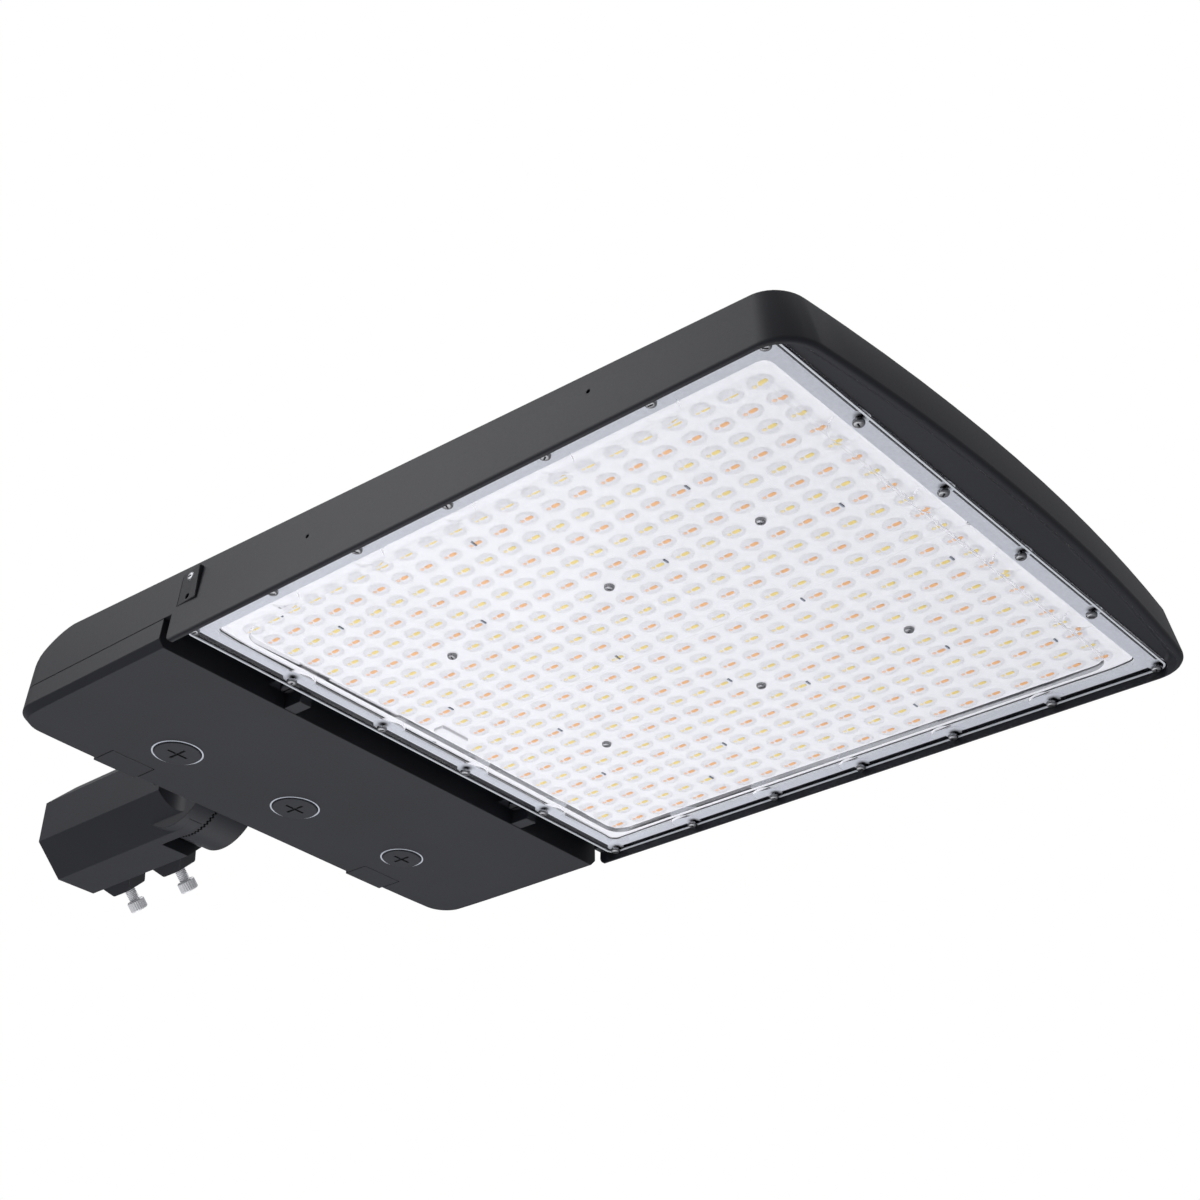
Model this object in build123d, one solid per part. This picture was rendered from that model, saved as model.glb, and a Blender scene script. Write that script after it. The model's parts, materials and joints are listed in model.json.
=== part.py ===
"""LED area light: a flat die-cast head with a clear lens plate over white LED boards,
a hinged gear door behind the lens and an adjustable slip fitter for a pole tenon.

Frame: x runs along the head from the fitter's mouth to the nose, y across it, z up.
The origin is the centre of the fitter's mouth, on the axis of the tenon bore.
"""

import os
from math import cos, pi, sin, sqrt

from build123d import *

os.makedirs("parts", exist_ok=True)

# Shared clearances
RUN = 0.05
GAP = 0.4
SEAM = 0.5
FASTENER_SIDES = 12

# Slip fitter and its toothed knuckle
BORE_RADIUS = 30.5
BORE_DEPTH = 92.0
WIREWAY_RADIUS = 25.0
TUBE_ACROSS = 75.0
TUBE_FAR_END = 110.0
KNUCKLE_X = 139.0
KNUCKLE_RADIUS = TUBE_ACROSS / 2 - 0.2
KNUCKLE_NEAR = -23.0
KNUCKLE_FAR = 23.0
JOINT_Y = -5.3
TEETH = 72
TOOTH_DEPTH = 1.0
TOOTH_INNER = 25.0
TOOTH_ROOT = 27.0
HUB_DEPTH = TOOTH_DEPTH + 0.6
PIVOT_RADIUS = 5.0
HEX_ACROSS = 16.0
PIVOT_WASHER = 2.0
PIVOT_NUT = 8.0
PIVOT_HEAD_SEAT = 14.0
PIVOT_NUT_SEAT = KNUCKLE_NEAR + 1.0
CLAMP_X = (19.5, 78.0)
CLAMP_RADIUS = 4.0
CLAMP_HEAD_RADIUS = 6.5
CLAMP_HEAD = 8.0
CLAMP_EXPOSED = 9.0
BOSS_REACH = 46.5
BOSS_TOP = 9.0
BOSS_FOOT = 21.0
BOSS_HALF = 8.5

# Head: outline, levels and walls
BACK_X = 191.0
NOSE_X = 804.0
HALF_WIDTH = 190.5
NOSE_BOW = 1335.0
BACK_CORNER = 22.0
NOSE_CORNER = 24.0
NOSE_CORNER_TOP = 15.0
SIDE_LEAN = 4.0
NOSE_LEAN = 15.5
LIP_Z = -46.0
LIP_ROUND = 2.5
LIP_SIDE = 2.6
LIP_NOSE = 5.0
LIP_SLOPE = 38.0
LIP_CREASE = 3.5
BAND_Z = -40.0
CROWN_Z = 12.0
SEAM_Z = -26.5
TOP_BACK = (240.0, 8.3)
TOP_NOSE = (770.0, -12.0)
BACK_ARC = ((191.5, -34.0), (206.5, -7.3))
WALL = 3.4
GEAR_FRONT = 347.0
DOOR_FRONT = 340.0
LED_BACK = 357.0
FIN_BACK = 363.0
FIN_COUNT = 22
FIN_PITCH = 16.4
FIN_THICK = 2.6
FIN_SINK = 2.5
FIN_WALL = 6.0
FIN_NOSE = 9.0
DECK_TOP = -29.8
SHELF_Z = -23.5
SIDE_PAD_X = (350.0, 368.0)
SIDE_PAD_Z = (-22.5, -0.5)
SIDE_PAD_DEPTH = 2.6
SIDE_SCREW = (360.0, -5.8)
SIDE_HOLE = (359.5, -19.0)
SHIELD_HOLES = ((462.3, -20.0), (666.7, -20.0))
SHIELD_HOLE_RADIUS = 1.25
BREATHER = (789.0, -38.0)
BREATHER_RADIUS = 2.6
BREATHER_HEIGHT = 4.4
BREATHER_STEM = 1.5
SIDE_HEAD_RADIUS = 3.0

# Inside the gear box: surge protector at the far wall, terminals at the near one, driver between
GEAR_MARGIN = 18.5
SURGE_X = (245.0, 295.0)
SURGE_WIDE = 34.0
SURGE_HEIGHT = 24.0
SURGE_Y = (HALF_WIDTH - GEAR_MARGIN - SURGE_WIDE, HALF_WIDTH - GEAR_MARGIN)
TERMINAL_X = (250.0, 286.0)
TERMINAL_WIDE = 24.0
TERMINAL_Y = (GEAR_MARGIN - HALF_WIDTH, GEAR_MARGIN - HALF_WIDTH + TERMINAL_WIDE)
DRIVER_X = (236.0, 302.0)
DRIVER_LENGTH = 210.0
DRIVER_SCREW_X = 269.0
DRIVER_TOP = 0.0
DRIVER_HEIGHT = 33.0
RAIL_HALF = 7.0
RAIL_OFFSET = 9.0
RAIL_REACH = RAIL_OFFSET + RAIL_HALF
DRIVER_SPARE = SURGE_Y[0] - TERMINAL_Y[1] - DRIVER_LENGTH - 2 * RAIL_REACH
DRIVER_NEAR_SHARE = 14 / 44
DRIVER_START = TERMINAL_Y[1] + DRIVER_NEAR_SHARE * DRIVER_SPARE + RAIL_REACH
DRIVER_Y = (DRIVER_START, DRIVER_START + DRIVER_LENGTH)
DRIVER_RAILS = (DRIVER_Y[0] - RAIL_OFFSET, DRIVER_Y[1] + RAIL_OFFSET)

# Lens plate, boards and their screws
LENS_BACK = 358.0
LENS_FRONT = 776.7
LENS_MARGIN = 3.5
LENS_HALF = HALF_WIDTH - LENS_MARGIN
LENS_CORNER = 6.0
FLANGE_FACE = -41.0
FLANGE = 2.8
SEAT_Z = -37.0
PANEL_FACE = -44.0
PANEL_SKIN = 2.4
PANEL_FOOT = (11.5, 7.0)
PANEL_TOP = (20.5, 19.0)
PANEL_CORNER = 12.0
SCREW_INSET = (6.3, 3.2)
SCREWS_LONG = 7
SCREWS_WIDE = 6
SCREW_RADIUS = 1.5
SCREW_HEAD_RADIUS = 2.8
SCREW_HEAD = 1.9
SCREW_TIP = DECK_TOP - 1.2
SCALLOP = 11.0
SCALLOP_SHIFT = 5.0
INWARDS = {"near": (0, 1), "far": (0, -1), "nose": (-1, 0), "gear": (1, 0)}
ROOM_MARGIN = 3.5
POST_RADIUS = 4.0
CONNECTOR = 1.8
GASKET_LOBE = 5.6
GASKET_EDGE = 4.2
BOARD_Z = -34.8
BOARD = 1.6
BOARD_EDGE = 14.0
BOARD_SPLIT = 0.4
LED_FIRST_X = 749.1
LED_PITCH_X = 17.23
LED_PITCH_Y = 15.2
INNER_SCREW_COLUMNS = (4, 10, 17)
INNER_SCREW_ROWS = (6, 15)

# Gear door, its hinges, caps and captive screws
DOOR_FACE = -45.0
DOOR_SKIN = 3.0
DOOR_BEVEL = 4.5
HINGE_X = 194.2
HINGE_Z = -31.5
HINGE_RADIUS = 1.5
HINGE_Y = 108.9
NOTCH_HALF = 16.7
NOTCH_GAP = 0.6
NOTCH_REACH = sqrt((212.2 - HINGE_X) ** 2 + (DOOR_FACE - HINGE_Z) ** 2)
EAR = 4.0
CAP_X = 242.7
CAPS = ((-98.2, 15.0), (0.0, 15.0), (98.2, 13.4))
CAP_DISC = 2.8
CAP_STEM_TOP = -36.0
CAP_SHOULDER = 3.0
CAP_SLOT = 1.8
CAP_SLOT_DEPTH = 1.2
LUG_PLACES = (-101.0, 99.0)
LUG_X = 349.0
LUG_RADIUS = 7.5
LUG_RIB = 9.0
LUG_TOP = -29.0
LUG_UNDER = -34.0
CAPTIVE_RADIUS = 2.5
CAPTIVE_HEAD_RADIUS = 4.5
CAPTIVE_HEAD = 3.5
CAPTIVE_GRIP = 6.5
CAPTIVE_ROOM = 0.75
GASKET_WIDE = 4.0
GASKET_THICK = 2.0
SEAL_BACK = 218.0
SEAL_FRONT = 333.0
SEAL_MARGIN = 8.5
SEAL_HALF = HALF_WIDTH - SEAL_MARGIN
SEAL_RIB = 2.0

# Arm between knuckle and head
PAD_HALF = 40.0
PAD_TOP = 7.0
PAD_WALL = 7.0
ARM_FLANGE_X = 182.0
ARM_GASKET = 1.0
ARM_BOLT_Y = 28.0
ARM_BOLT_Z = (-17.0, -3.0)
ARM_BOLT_RADIUS = 3.0
WIRE_Y = 9.0
WIRE_RADIUS = 5.0
WIRE_OVER = PIVOT_RADIUS + WIRE_RADIUS + 3.5
WIRE_EXIT = -8.0


def bar(x0, x1, y0, y1, z0, z1):
    centre = Pos((x0 + x1) / 2, (y0 + y1) / 2, (z0 + z1) / 2)
    return centre * Box(x1 - x0, y1 - y0, z1 - z0)


def rod(start, direction, radius, length):
    return extrude(Plane(start, z_dir=direction) * Circle(radius), length)


def peg(start, direction, radius, length):
    """Faceted rod for small fasteners and the holes that take them."""
    return extrude(Plane(start, z_dir=direction) * RegularPolygon(radius, FASTENER_SIDES), length)


def hexagon_rod(start, direction, across, length):
    face = RegularPolygon(across / 2, 6, major_radius=False)
    return extrude(Plane(start, z_dir=direction) * face, length)


def rounded_plate(x0, x1, half, z0, z1, corner):
    face = RectangleRounded(x1 - x0, 2 * half, corner)
    return extrude(Pos((x0 + x1) / 2, 0, z0) * face, z1 - z0)


def top_line(x):
    slope = (TOP_NOSE[1] - TOP_BACK[1]) / (TOP_NOSE[0] - TOP_BACK[0])
    return TOP_BACK[1] + slope * (x - TOP_BACK[0])


def plan(z, side, nose, back, nose_corner, back_corner):
    """Outline of the head seen from above, inset at the sides, the nose and the back."""
    half = HALF_WIDTH - side
    tip = NOSE_X - nose
    shoulder = tip - half**2 / (2 * NOSE_BOW)
    rear = BACK_X + back
    outline = [
        Line((rear, -half), (shoulder, -half)),
        ThreePointArc((shoulder, -half), (tip, 0), (shoulder, half)),
        Line((shoulder, half), (rear, half)),
        Line((rear, half), (rear, -half)),
    ]
    face = make_face(outline)
    face = fillet(face.vertices().sort_by(Axis.X)[-2:], nose_corner)
    face = fillet(face.vertices().sort_by(Axis.X)[:2], back_corner)
    return Pos(0, 0, z) * face


def leaning_block(inset, nose_inset, back_inset):
    """Head outline leaning inwards from the lip to the crown, inset evenly."""
    foot = plan(LIP_Z, inset, nose_inset, back_inset, NOSE_CORNER, BACK_CORNER)
    crown = plan(
        CROWN_Z,
        inset + SIDE_LEAN,
        nose_inset + NOSE_LEAN,
        back_inset,
        NOSE_CORNER_TOP,
        BACK_CORNER,
    )
    return loft([foot, crown], ruled=True)


def side_profile(inset):
    """Side view of the head: bull-nosed back and a top that falls towards the nose."""
    end = (NOSE_X + 40, top_line(NOSE_X + 40))
    outline = [
        Line((BACK_X, -80), (BACK_X, -50)),
        Line((BACK_X, -50), BACK_ARC[0]),
        ThreePointArc(BACK_ARC[0], BACK_ARC[1], TOP_BACK),
        Line(TOP_BACK, end),
        Line(end, (end[0], -80)),
        Line((end[0], -80), (BACK_X, -80)),
    ]
    face = make_face(outline)
    if inset > 0:
        face = offset(face, -inset, kind=Kind.INTERSECTION)
    return extrude(Plane.XZ * face, HALF_WIDTH + 20, both=True)


def lens_screw_places():
    """Centres of the perimeter screws, keyed by the edge they hold down."""
    x0 = LENS_BACK + SCREW_INSET[0]
    x1 = LENS_FRONT - SCREW_INSET[0]
    y1 = LENS_HALF - SCREW_INSET[1]
    along = [x0 + (x1 - x0) * i / (SCREWS_LONG - 1) for i in range(SCREWS_LONG)]
    across = [-y1 + 2 * y1 * i / (SCREWS_WIDE - 1) for i in range(1, SCREWS_WIDE - 1)]
    return {
        "near": [(x, -y1) for x in along],
        "far": [(x, y1) for x in along],
        "nose": [(x1, y) for y in across],
        "gear": [(x0, y) for y in across],
    }


def inner_screw_places():
    places = []
    for row in INNER_SCREW_ROWS:
        for column in INNER_SCREW_COLUMNS:
            x = LED_FIRST_X - LED_PITCH_X * column
            y = LED_PITCH_Y * (row - 10.5)
            places.append((x, y))
    return places


def cross_screw(head_radius, head, radius, length):
    """Pan-head screw pointing up, its cross recess facing down."""
    down = (0, 0, -1)
    skirt = peg((0, 0, 0), down, head_radius, head / 2)
    crown_face = Plane((0, 0, -head / 2), z_dir=down) * RegularPolygon(head_radius, FASTENER_SIDES)
    crown = extrude(crown_face, head / 2, taper=45)
    screw = skirt + crown + peg((0, 0, 0), (0, 0, 1), radius, length)
    slot = Pos(0, 0, -head) * Box(head_radius * 1.1, head_radius * 0.3, head)
    return screw - slot - Rot(0, 0, 90) * slot


PERIMETER = lens_screw_places()
INNER = inner_screw_places()
ALL_PERIMETER = [place for edge in PERIMETER.values() for place in edge]
DIAGONAL = (0, sqrt(0.5), -sqrt(0.5))


def build_slip_fitter():
    ear_face = JOINT_Y - GAP / 2
    recess = ear_face - HUB_DEPTH - 0.5
    tube_face = Plane.YZ * RegularPolygon(TUBE_ACROSS / 2, 8, major_radius=False, rotation=22.5)
    step = TUBE_ACROSS / 2 + KNUCKLE_NEAR
    shoulder_end = KNUCKLE_X + step
    body = extrude(tube_face, shoulder_end)
    knuckle = rod((KNUCKLE_X, -60, 0), (0, 1, 0), TUBE_ACROSS / 2, 120)
    beyond = bar(KNUCKLE_X, shoulder_end + 1, -60, 60, -60, 60) - knuckle
    far_half = bar(TUBE_FAR_END, shoulder_end + 1, recess, 60, -60, 60)
    arm_room = rod((KNUCKLE_X, recess, 0), (0, 1, 0), KNUCKLE_RADIUS + 2.5, 80)
    fillet_room = rod((shoulder_end, -TUBE_ACROSS / 2, -60), (0, 0, 1), step, 120)
    wireway = rod((0, 0, 0), (1, 0, 0), WIREWAY_RADIUS, TUBE_FAR_END - 2)
    body = body - beyond - far_half - arm_room - fillet_room - wireway
    body = body + toothed_disc(ear_face, KNUCKLE_NEAR)
    for x in CLAMP_X:
        boss_plane = Plane((x, 0, 0), x_dir=(1, 0, 0), z_dir=(0, 1, 1))
        outline = make_face(
            Polyline(
                (-BOSS_FOOT, BORE_RADIUS + 2),
                (BOSS_FOOT, BORE_RADIUS + 2),
                (BOSS_TOP, BOSS_REACH),
                (-BOSS_TOP, BOSS_REACH),
                close=True,
            )
        )
        outline = fillet(outline.vertices().sort_by(Axis.Y)[-2:], 3.5)
        body = body + extrude(boss_plane * outline, BOSS_HALF, both=True)
    body = body - bar(-40, 0, -60, 60, -60, 60)
    bore = rod((0, 0, 0), (1, 0, 0), BORE_RADIUS, BORE_DEPTH)
    bolt_hole = rod((KNUCKLE_X, -60, 0), (0, 1, 0), PIVOT_RADIUS, 120)
    nut_room = rod((KNUCKLE_X, PIVOT_NUT_SEAT, 0), (0, -1, 0), HEX_ACROSS * 0.72, 60)
    holes = [rod((x, 0, 0), DIAGONAL, CLAMP_RADIUS + RUN, 60) for x in CLAMP_X]
    return body - bore - bolt_hole - nut_room - holes


def toothed_disc(face_y, back_y):
    """Disc of the tilt joint with a ring of radial teeth, their crests on its face."""
    direction = (0, 1, 0) if back_y > face_y else (0, -1, 0)
    root_y = face_y + TOOTH_DEPTH * direction[1]
    disc = rod((KNUCKLE_X, root_y, 0), direction, KNUCKLE_RADIUS, abs(back_y - root_y))
    turn = 2 * pi / TEETH
    tooth = ((KNUCKLE_RADIUS, 0), (KNUCKLE_RADIUS, 0.5), (TOOTH_ROOT, 0.5), (TOOTH_ROOT, 1))
    outline = []
    for i in range(TEETH):
        for radius, share in tooth:
            angle = turn * (i + share)
            outline.append((radius * cos(angle), radius * sin(angle)))
    plane = Plane((KNUCKLE_X, face_y, 0), x_dir=(1, 0, 0), z_dir=direction)
    teeth = extrude(plane * make_face(Polyline(*outline, close=True)), TOOTH_DEPTH + 0.3, dir=direction)
    hub_relief = rod((KNUCKLE_X, face_y, 0), direction, TOOTH_INNER, HUB_DEPTH)
    return disc + teeth - hub_relief


def build_knuckle_arm():
    face = JOINT_Y + GAP / 2
    flange_back = BACK_X - ARM_GASKET
    neck_near = face + HUB_DEPTH + 0.5
    barrel = toothed_disc(face, KNUCKLE_FAR)
    neck_outline = make_face(
        Polyline(
            (KNUCKLE_X, -30),
            (ARM_FLANGE_X + 1, SEAM_Z + 5),
            (ARM_FLANGE_X + 1, PAD_TOP - 3),
            (KNUCKLE_X, 34),
            close=True,
        )
    )
    neck = Pos(0, neck_near, 0) * extrude(Plane.XZ * neck_outline, neck_near - KNUCKLE_FAR)
    flange_width = 2 * PAD_HALF - 4
    flange_height = PAD_TOP - SEAM_Z - 6
    flange_plane = Plane((ARM_FLANGE_X, 0, (PAD_TOP + SEAM_Z) / 2), x_dir=(0, 1, 0), z_dir=(1, 0, 0))
    flange_face = RectangleRounded(flange_width, flange_height, 6)
    arm = barrel + neck + extrude(flange_plane * flange_face, flange_back - ARM_FLANGE_X)
    bolt_hole = rod((KNUCKLE_X, -60, 0), (0, 1, 0), PIVOT_RADIUS + RUN, 120)
    head_room = rod((KNUCKLE_X, PIVOT_HEAD_SEAT, 0), (0, 1, 0), HEX_ACROSS * 0.68, 60)
    run = BACK_X - KNUCKLE_X
    fall = WIRE_OVER - WIRE_EXIT
    wire_start = (KNUCKLE_X - run, WIRE_Y, WIRE_OVER + fall)
    wireway = rod(wire_start, (run, 0, -fall), WIRE_RADIUS, 3 * run)
    bolts = [
        rod((ARM_FLANGE_X - 1, side * ARM_BOLT_Y, z), (1, 0, 0), ARM_BOLT_RADIUS, 20)
        for side in (-1, 1)
        for z in ARM_BOLT_Z
    ]
    return arm - [bolt_hole, head_room, wireway] - bolts


def build_housing():
    beyond = 2 * HALF_WIDTH
    outer = leaning_block(0, 0, 0)
    outer = fillet(outer.faces().sort_by(Axis.Z)[0].edges(), LIP_ROUND)
    outer = outer & side_profile(0)
    outer = outer + bar(BACK_X, BACK_X + 40, -PAD_HALF, PAD_HALF, SEAM_Z, PAD_TOP)
    gear_under = bar(BACK_X - 40, GEAR_FRONT, -beyond, beyond, LIP_Z - 1, SEAM_Z)
    gear_block = leaning_block(WALL, WALL, WALL) & side_profile(WALL)
    gear_room = gear_block & bar(BACK_X, GEAR_FRONT - WALL, -beyond, beyond, SHELF_Z, CROWN_Z)
    door_way = seal_frame(GASKET_WIDE + 1, SEAM_Z - 1, SHELF_Z + 1)
    pad_room = bar(
        BACK_X + PAD_WALL, BACK_X + 39, WALL - PAD_HALF, PAD_HALF - WALL, SHELF_Z, PAD_TOP - WALL
    )
    slot_half = LENS_HALF - FIN_WALL
    slot = bar(GEAR_FRONT, LED_BACK, -slot_half, slot_half, LIP_Z - 1, CROWN_Z + 1)
    body = outer - [gear_under, gear_room, door_way, pad_room, slot]
    body = body - lens_recess() - fin_channels() - wall_ends() - side_pads()
    body = body + bridges() + captive_bosses() + hinge_lugs() + driver_rails()
    return body - housing_holes()


def seal_frame(inset, z0, z1):
    """Block inside the seal line of the gear door, drawn in by an inset."""
    corner = max(8 - inset, 1)
    return rounded_plate(SEAL_BACK + inset, SEAL_FRONT - inset, SEAL_HALF - inset, z0, z1, corner)


def lens_recess():
    """Sunk lip round three sides, seat of the lens plate and pocket of the boards."""
    lip_face = plan(LIP_Z, LIP_SIDE, LIP_NOSE, 0, NOSE_CORNER - LIP_NOSE, BACK_CORNER)
    lip = extrude(lip_face, BAND_Z - LIP_Z, taper=LIP_SLOPE)
    lip = fillet(lip.faces().sort_by(Axis.Z)[-1].edges(), LIP_CREASE)
    seat = rounded_plate(
        DOOR_FRONT, LENS_FRONT + SEAM, LENS_HALF + SEAM, LIP_Z - 1, SEAT_Z, LENS_CORNER
    )
    boards = rounded_plate(
        LENS_BACK + BOARD_EDGE - 1,
        LENS_FRONT - BOARD_EDGE + 1,
        LENS_HALF - BOARD_EDGE + 1,
        SEAT_Z - 1,
        BOARD_Z,
        5,
    )
    return [lip, seat, boards]


def fin_channels():
    """Open channels between the cooling fins."""
    beyond = 2 * HALF_WIDTH
    channels = leaning_block(FIN_WALL, FIN_NOSE, 0)
    channels = channels & bar(LED_BACK, NOSE_X, -beyond, beyond, DECK_TOP, CROWN_Z + 1)
    fins = []
    for i in range(FIN_COUNT):
        y = fin_place(i)
        fins.append(bar(FIN_BACK, NOSE_X, y - FIN_THICK / 2, y + FIN_THICK / 2, DECK_TOP, CROWN_Z + 1))
    lowered = Pos(0, 0, -FIN_SINK) * side_profile(0)
    fins = [fin & lowered for fin in fins]
    return channels - fins


def fin_place(i):
    return FIN_PITCH * (i - (FIN_COUNT - 1) / 2)


def bridges():
    """Every fifth fin runs on to the gear box and ties it to the LED deck."""
    lowered = Pos(0, 0, -FIN_SINK) * side_profile(0)
    ties = []
    for i in range(3, FIN_COUNT, 5):
        y = fin_place(i)
        tie = bar(GEAR_FRONT - 1, FIN_BACK + 2, y - FIN_THICK / 2, y + FIN_THICK / 2, DECK_TOP, CROWN_Z)
        ties.append(tie & lowered)
    return ties


def wall_ends():
    """Rounded lower corners where the side walls stop at the gear door."""
    radius = 5.0
    beyond = 2 * HALF_WIDTH
    corner = bar(GEAR_FRONT - 1, GEAR_FRONT + radius, -beyond, beyond, LIP_Z - 1, LIP_Z + radius)
    return corner - rod((GEAR_FRONT + radius, -beyond, LIP_Z + radius), (0, 1, 0), radius, 2 * beyond)


def wall_y(z):
    """Distance of the outer side wall from the centre plane at a height."""
    return HALF_WIDTH - SIDE_LEAN * (z - LIP_Z) / (CROWN_Z - LIP_Z)


def side_pads():
    """Wedge-shaped recesses for the side screws, deepest towards the nose."""
    x0, x1 = SIDE_PAD_X
    z0, z1 = SIDE_PAD_Z
    wall = wall_y(z1)
    outline = make_face(
        Polyline((x0, wall), (x1, wall - SIDE_PAD_DEPTH), (x1, wall + 9), (x0, wall + 9), close=True)
    )
    pad = extrude(Pos(0, 0, z0) * outline, z1 - z0)
    return [pad, mirror(pad, Plane.XZ)]


def captive_bosses():
    blocks = []
    for y in LUG_PLACES:
        blocks.append(bar(GEAR_FRONT - 1, LED_BACK + 5, y - 8.5, y + 8.5, SEAM_Z, SEAM_Z + 12))
    return blocks


def hinge_lugs():
    """Lugs hanging from the housing that fill the notches of the gear door."""
    lugs = []
    reach = rod((HINGE_X, -HALF_WIDTH, HINGE_Z), (0, 1, 0), NOTCH_REACH - NOTCH_GAP, 2 * HALF_WIDTH)
    half = NOTCH_HALF - NOTCH_GAP
    for y in (-HINGE_Y, HINGE_Y):
        block = bar(BACK_X + 0.6, BACK_X + 30, y - half, y + half, DOOR_FACE, SEAM_Z + 2)
        lugs.append(block & reach)
    return lugs


def driver_rails():
    under_roof = side_profile(WALL - 1)
    rails = []
    for y in DRIVER_RAILS:
        rail = bar(DRIVER_X[0] + 4, DRIVER_X[1] - 4, y - RAIL_HALF, y + RAIL_HALF, DRIVER_TOP, CROWN_Z)
        rails.append(rail & under_roof)
    return rails


def housing_holes():
    up = (0, 0, 1)
    depth = SCREW_TIP + 0.4 - SEAT_Z + 1
    holes = [peg((x, y, SEAT_Z - 1), up, SCREW_RADIUS + RUN, depth) for x, y in ALL_PERIMETER + INNER]
    for y in LUG_PLACES:
        holes.append(rod((LUG_X, y, SEAM_Z - 1), up, CAPTIVE_RADIUS + CAPTIVE_ROOM, 10))
    for y in (-HINGE_Y, HINGE_Y):
        holes.append(rod((HINGE_X, y - 40, HINGE_Z), (0, 1, 0), HINGE_RADIUS, 80))
    for side in (-1, 1):
        start = side * (HALF_WIDTH + 5)
        inwards = (0, -side, 0)
        for x, z in SHIELD_HOLES:
            holes.append(rod((x, start, z), inwards, SHIELD_HOLE_RADIUS, FIN_WALL + SIDE_LEAN + 8))
        holes.append(peg((SIDE_HOLE[0], start, SIDE_HOLE[1]), inwards, SHIELD_HOLE_RADIUS, 12))
        holes.append(peg((SIDE_SCREW[0], start, SIDE_SCREW[1]), inwards, SCREW_RADIUS + RUN, 20))
        for z in ARM_BOLT_Z:
            holes.append(rod((BACK_X - 1, side * ARM_BOLT_Y, z), (1, 0, 0), ARM_BOLT_RADIUS, 12))
    for y in DRIVER_RAILS:
        holes.append(peg((DRIVER_SCREW_X, y, DRIVER_TOP - 1), up, SCREW_RADIUS, 4.5))
    holes.append(rod((BACK_X - 1, WIRE_Y, WIRE_EXIT), (1, 0, 0), WIRE_RADIUS, 12))
    seat = top_line(BREATHER[0]) - 0.6
    holes.append(rod((*BREATHER, seat), up, BREATHER_RADIUS + 1, 8))
    holes.append(rod((*BREATHER, seat - 8), up, BREATHER_STEM, 9))
    return holes


def build_lens_plate():
    """Clear plate: thin flange, raised panel and half-round pockets round the edge screws."""
    up = (0, 0, 1)
    plate = rounded_plate(
        LENS_BACK, LENS_FRONT, LENS_HALF, FLANGE_FACE, FLANGE_FACE + FLANGE, LENS_CORNER
    )
    foot = panel_face(PANEL_FOOT, FLANGE_FACE)
    plate = plate + loft([foot, panel_face(PANEL_TOP, PANEL_FACE)], ruled=True)
    room_inset = (PANEL_TOP[0] + ROOM_MARGIN, PANEL_TOP[1] + ROOM_MARGIN)
    room = extrude(panel_face(room_inset, PANEL_FACE + PANEL_SKIN), SEAT_Z - PANEL_FACE)
    pockets = []
    for edge, places in PERIMETER.items():
        for x, y in places:
            shift = INWARDS[edge]
            centre = (x + SCALLOP_SHIFT * shift[0], y + SCALLOP_SHIFT * shift[1], PANEL_FACE - 1)
            pockets.append(rod(centre, up, SCALLOP, FLANGE_FACE - PANEL_FACE + 1))
    posts = [rod((x, y, PANEL_FACE), up, POST_RADIUS, BOARD_Z - BOARD - PANEL_FACE) for x, y in INNER]
    holes = [peg((x, y, PANEL_FACE - 1), up, SCREW_RADIUS + 0.3, 12) for x, y in ALL_PERIMETER + INNER]
    return plate - room - pockets + posts - holes


def panel_face(inset, z):
    length = LENS_FRONT - LENS_BACK - 2 * inset[0]
    width = 2 * LENS_HALF - 2 * inset[1]
    return Pos((LENS_BACK + LENS_FRONT) / 2, 0, z) * RectangleRounded(length, width, PANEL_CORNER)


def build_lens_gasket():
    """Pale silicone ring under the flange with a lobe round every screw."""
    flange_back = FLANGE_FACE + FLANGE
    thick = SEAT_Z - flange_back
    ring = rounded_plate(
        LENS_BACK + GASKET_EDGE,
        LENS_FRONT - GASKET_EDGE,
        LENS_HALF - GASKET_EDGE + 1.5,
        flange_back,
        SEAT_Z,
        LENS_CORNER,
    )
    lobes = [peg((x, y, flange_back), (0, 0, 1), GASKET_LOBE, thick) for x, y in ALL_PERIMETER]
    limit = rounded_plate(
        LENS_BACK + 0.3, LENS_FRONT - 0.3, LENS_HALF - 0.3, flange_back, SEAT_Z, LENS_CORNER
    )
    inner = rounded_plate(
        LENS_BACK + BOARD_EDGE - 1,
        LENS_FRONT - BOARD_EDGE + 1,
        LENS_HALF - BOARD_EDGE + 1,
        flange_back - 1,
        SEAT_Z + 1,
        5,
    )
    holes = [peg((x, y, flange_back - 1), (0, 0, 1), SCREW_RADIUS + 0.3, 9) for x, y in ALL_PERIMETER]
    return ((ring + lobes) & limit) - inner - holes


def build_led_board(side):
    """One of two white boards that share the field at the centre line."""
    y0 = BOARD_SPLIT
    y1 = LENS_HALF - BOARD_EDGE
    board = bar(LENS_BACK + BOARD_EDGE, LENS_FRONT - BOARD_EDGE, y0, y1, BOARD_Z - BOARD, BOARD_Z)
    board = fillet(board.edges().filter_by(Axis.Z), 3)
    if side < 0:
        board = mirror(board, Plane.XZ)
    return board - [peg((x, y, BOARD_Z - 5), (0, 0, 1), SCREW_RADIUS + 0.3, 8) for x, y in INNER]


def build_board_connector():
    """Bridge connector that joins the two boards at the gear edge."""
    x = LED_FIRST_X - LED_PITCH_X * 21
    base = bar(x - 4, x + 4, -11, 11, BOARD_Z - BOARD - CONNECTOR, BOARD_Z - BOARD)
    return fillet(base.edges().filter_by(Axis.Z), 2)


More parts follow.
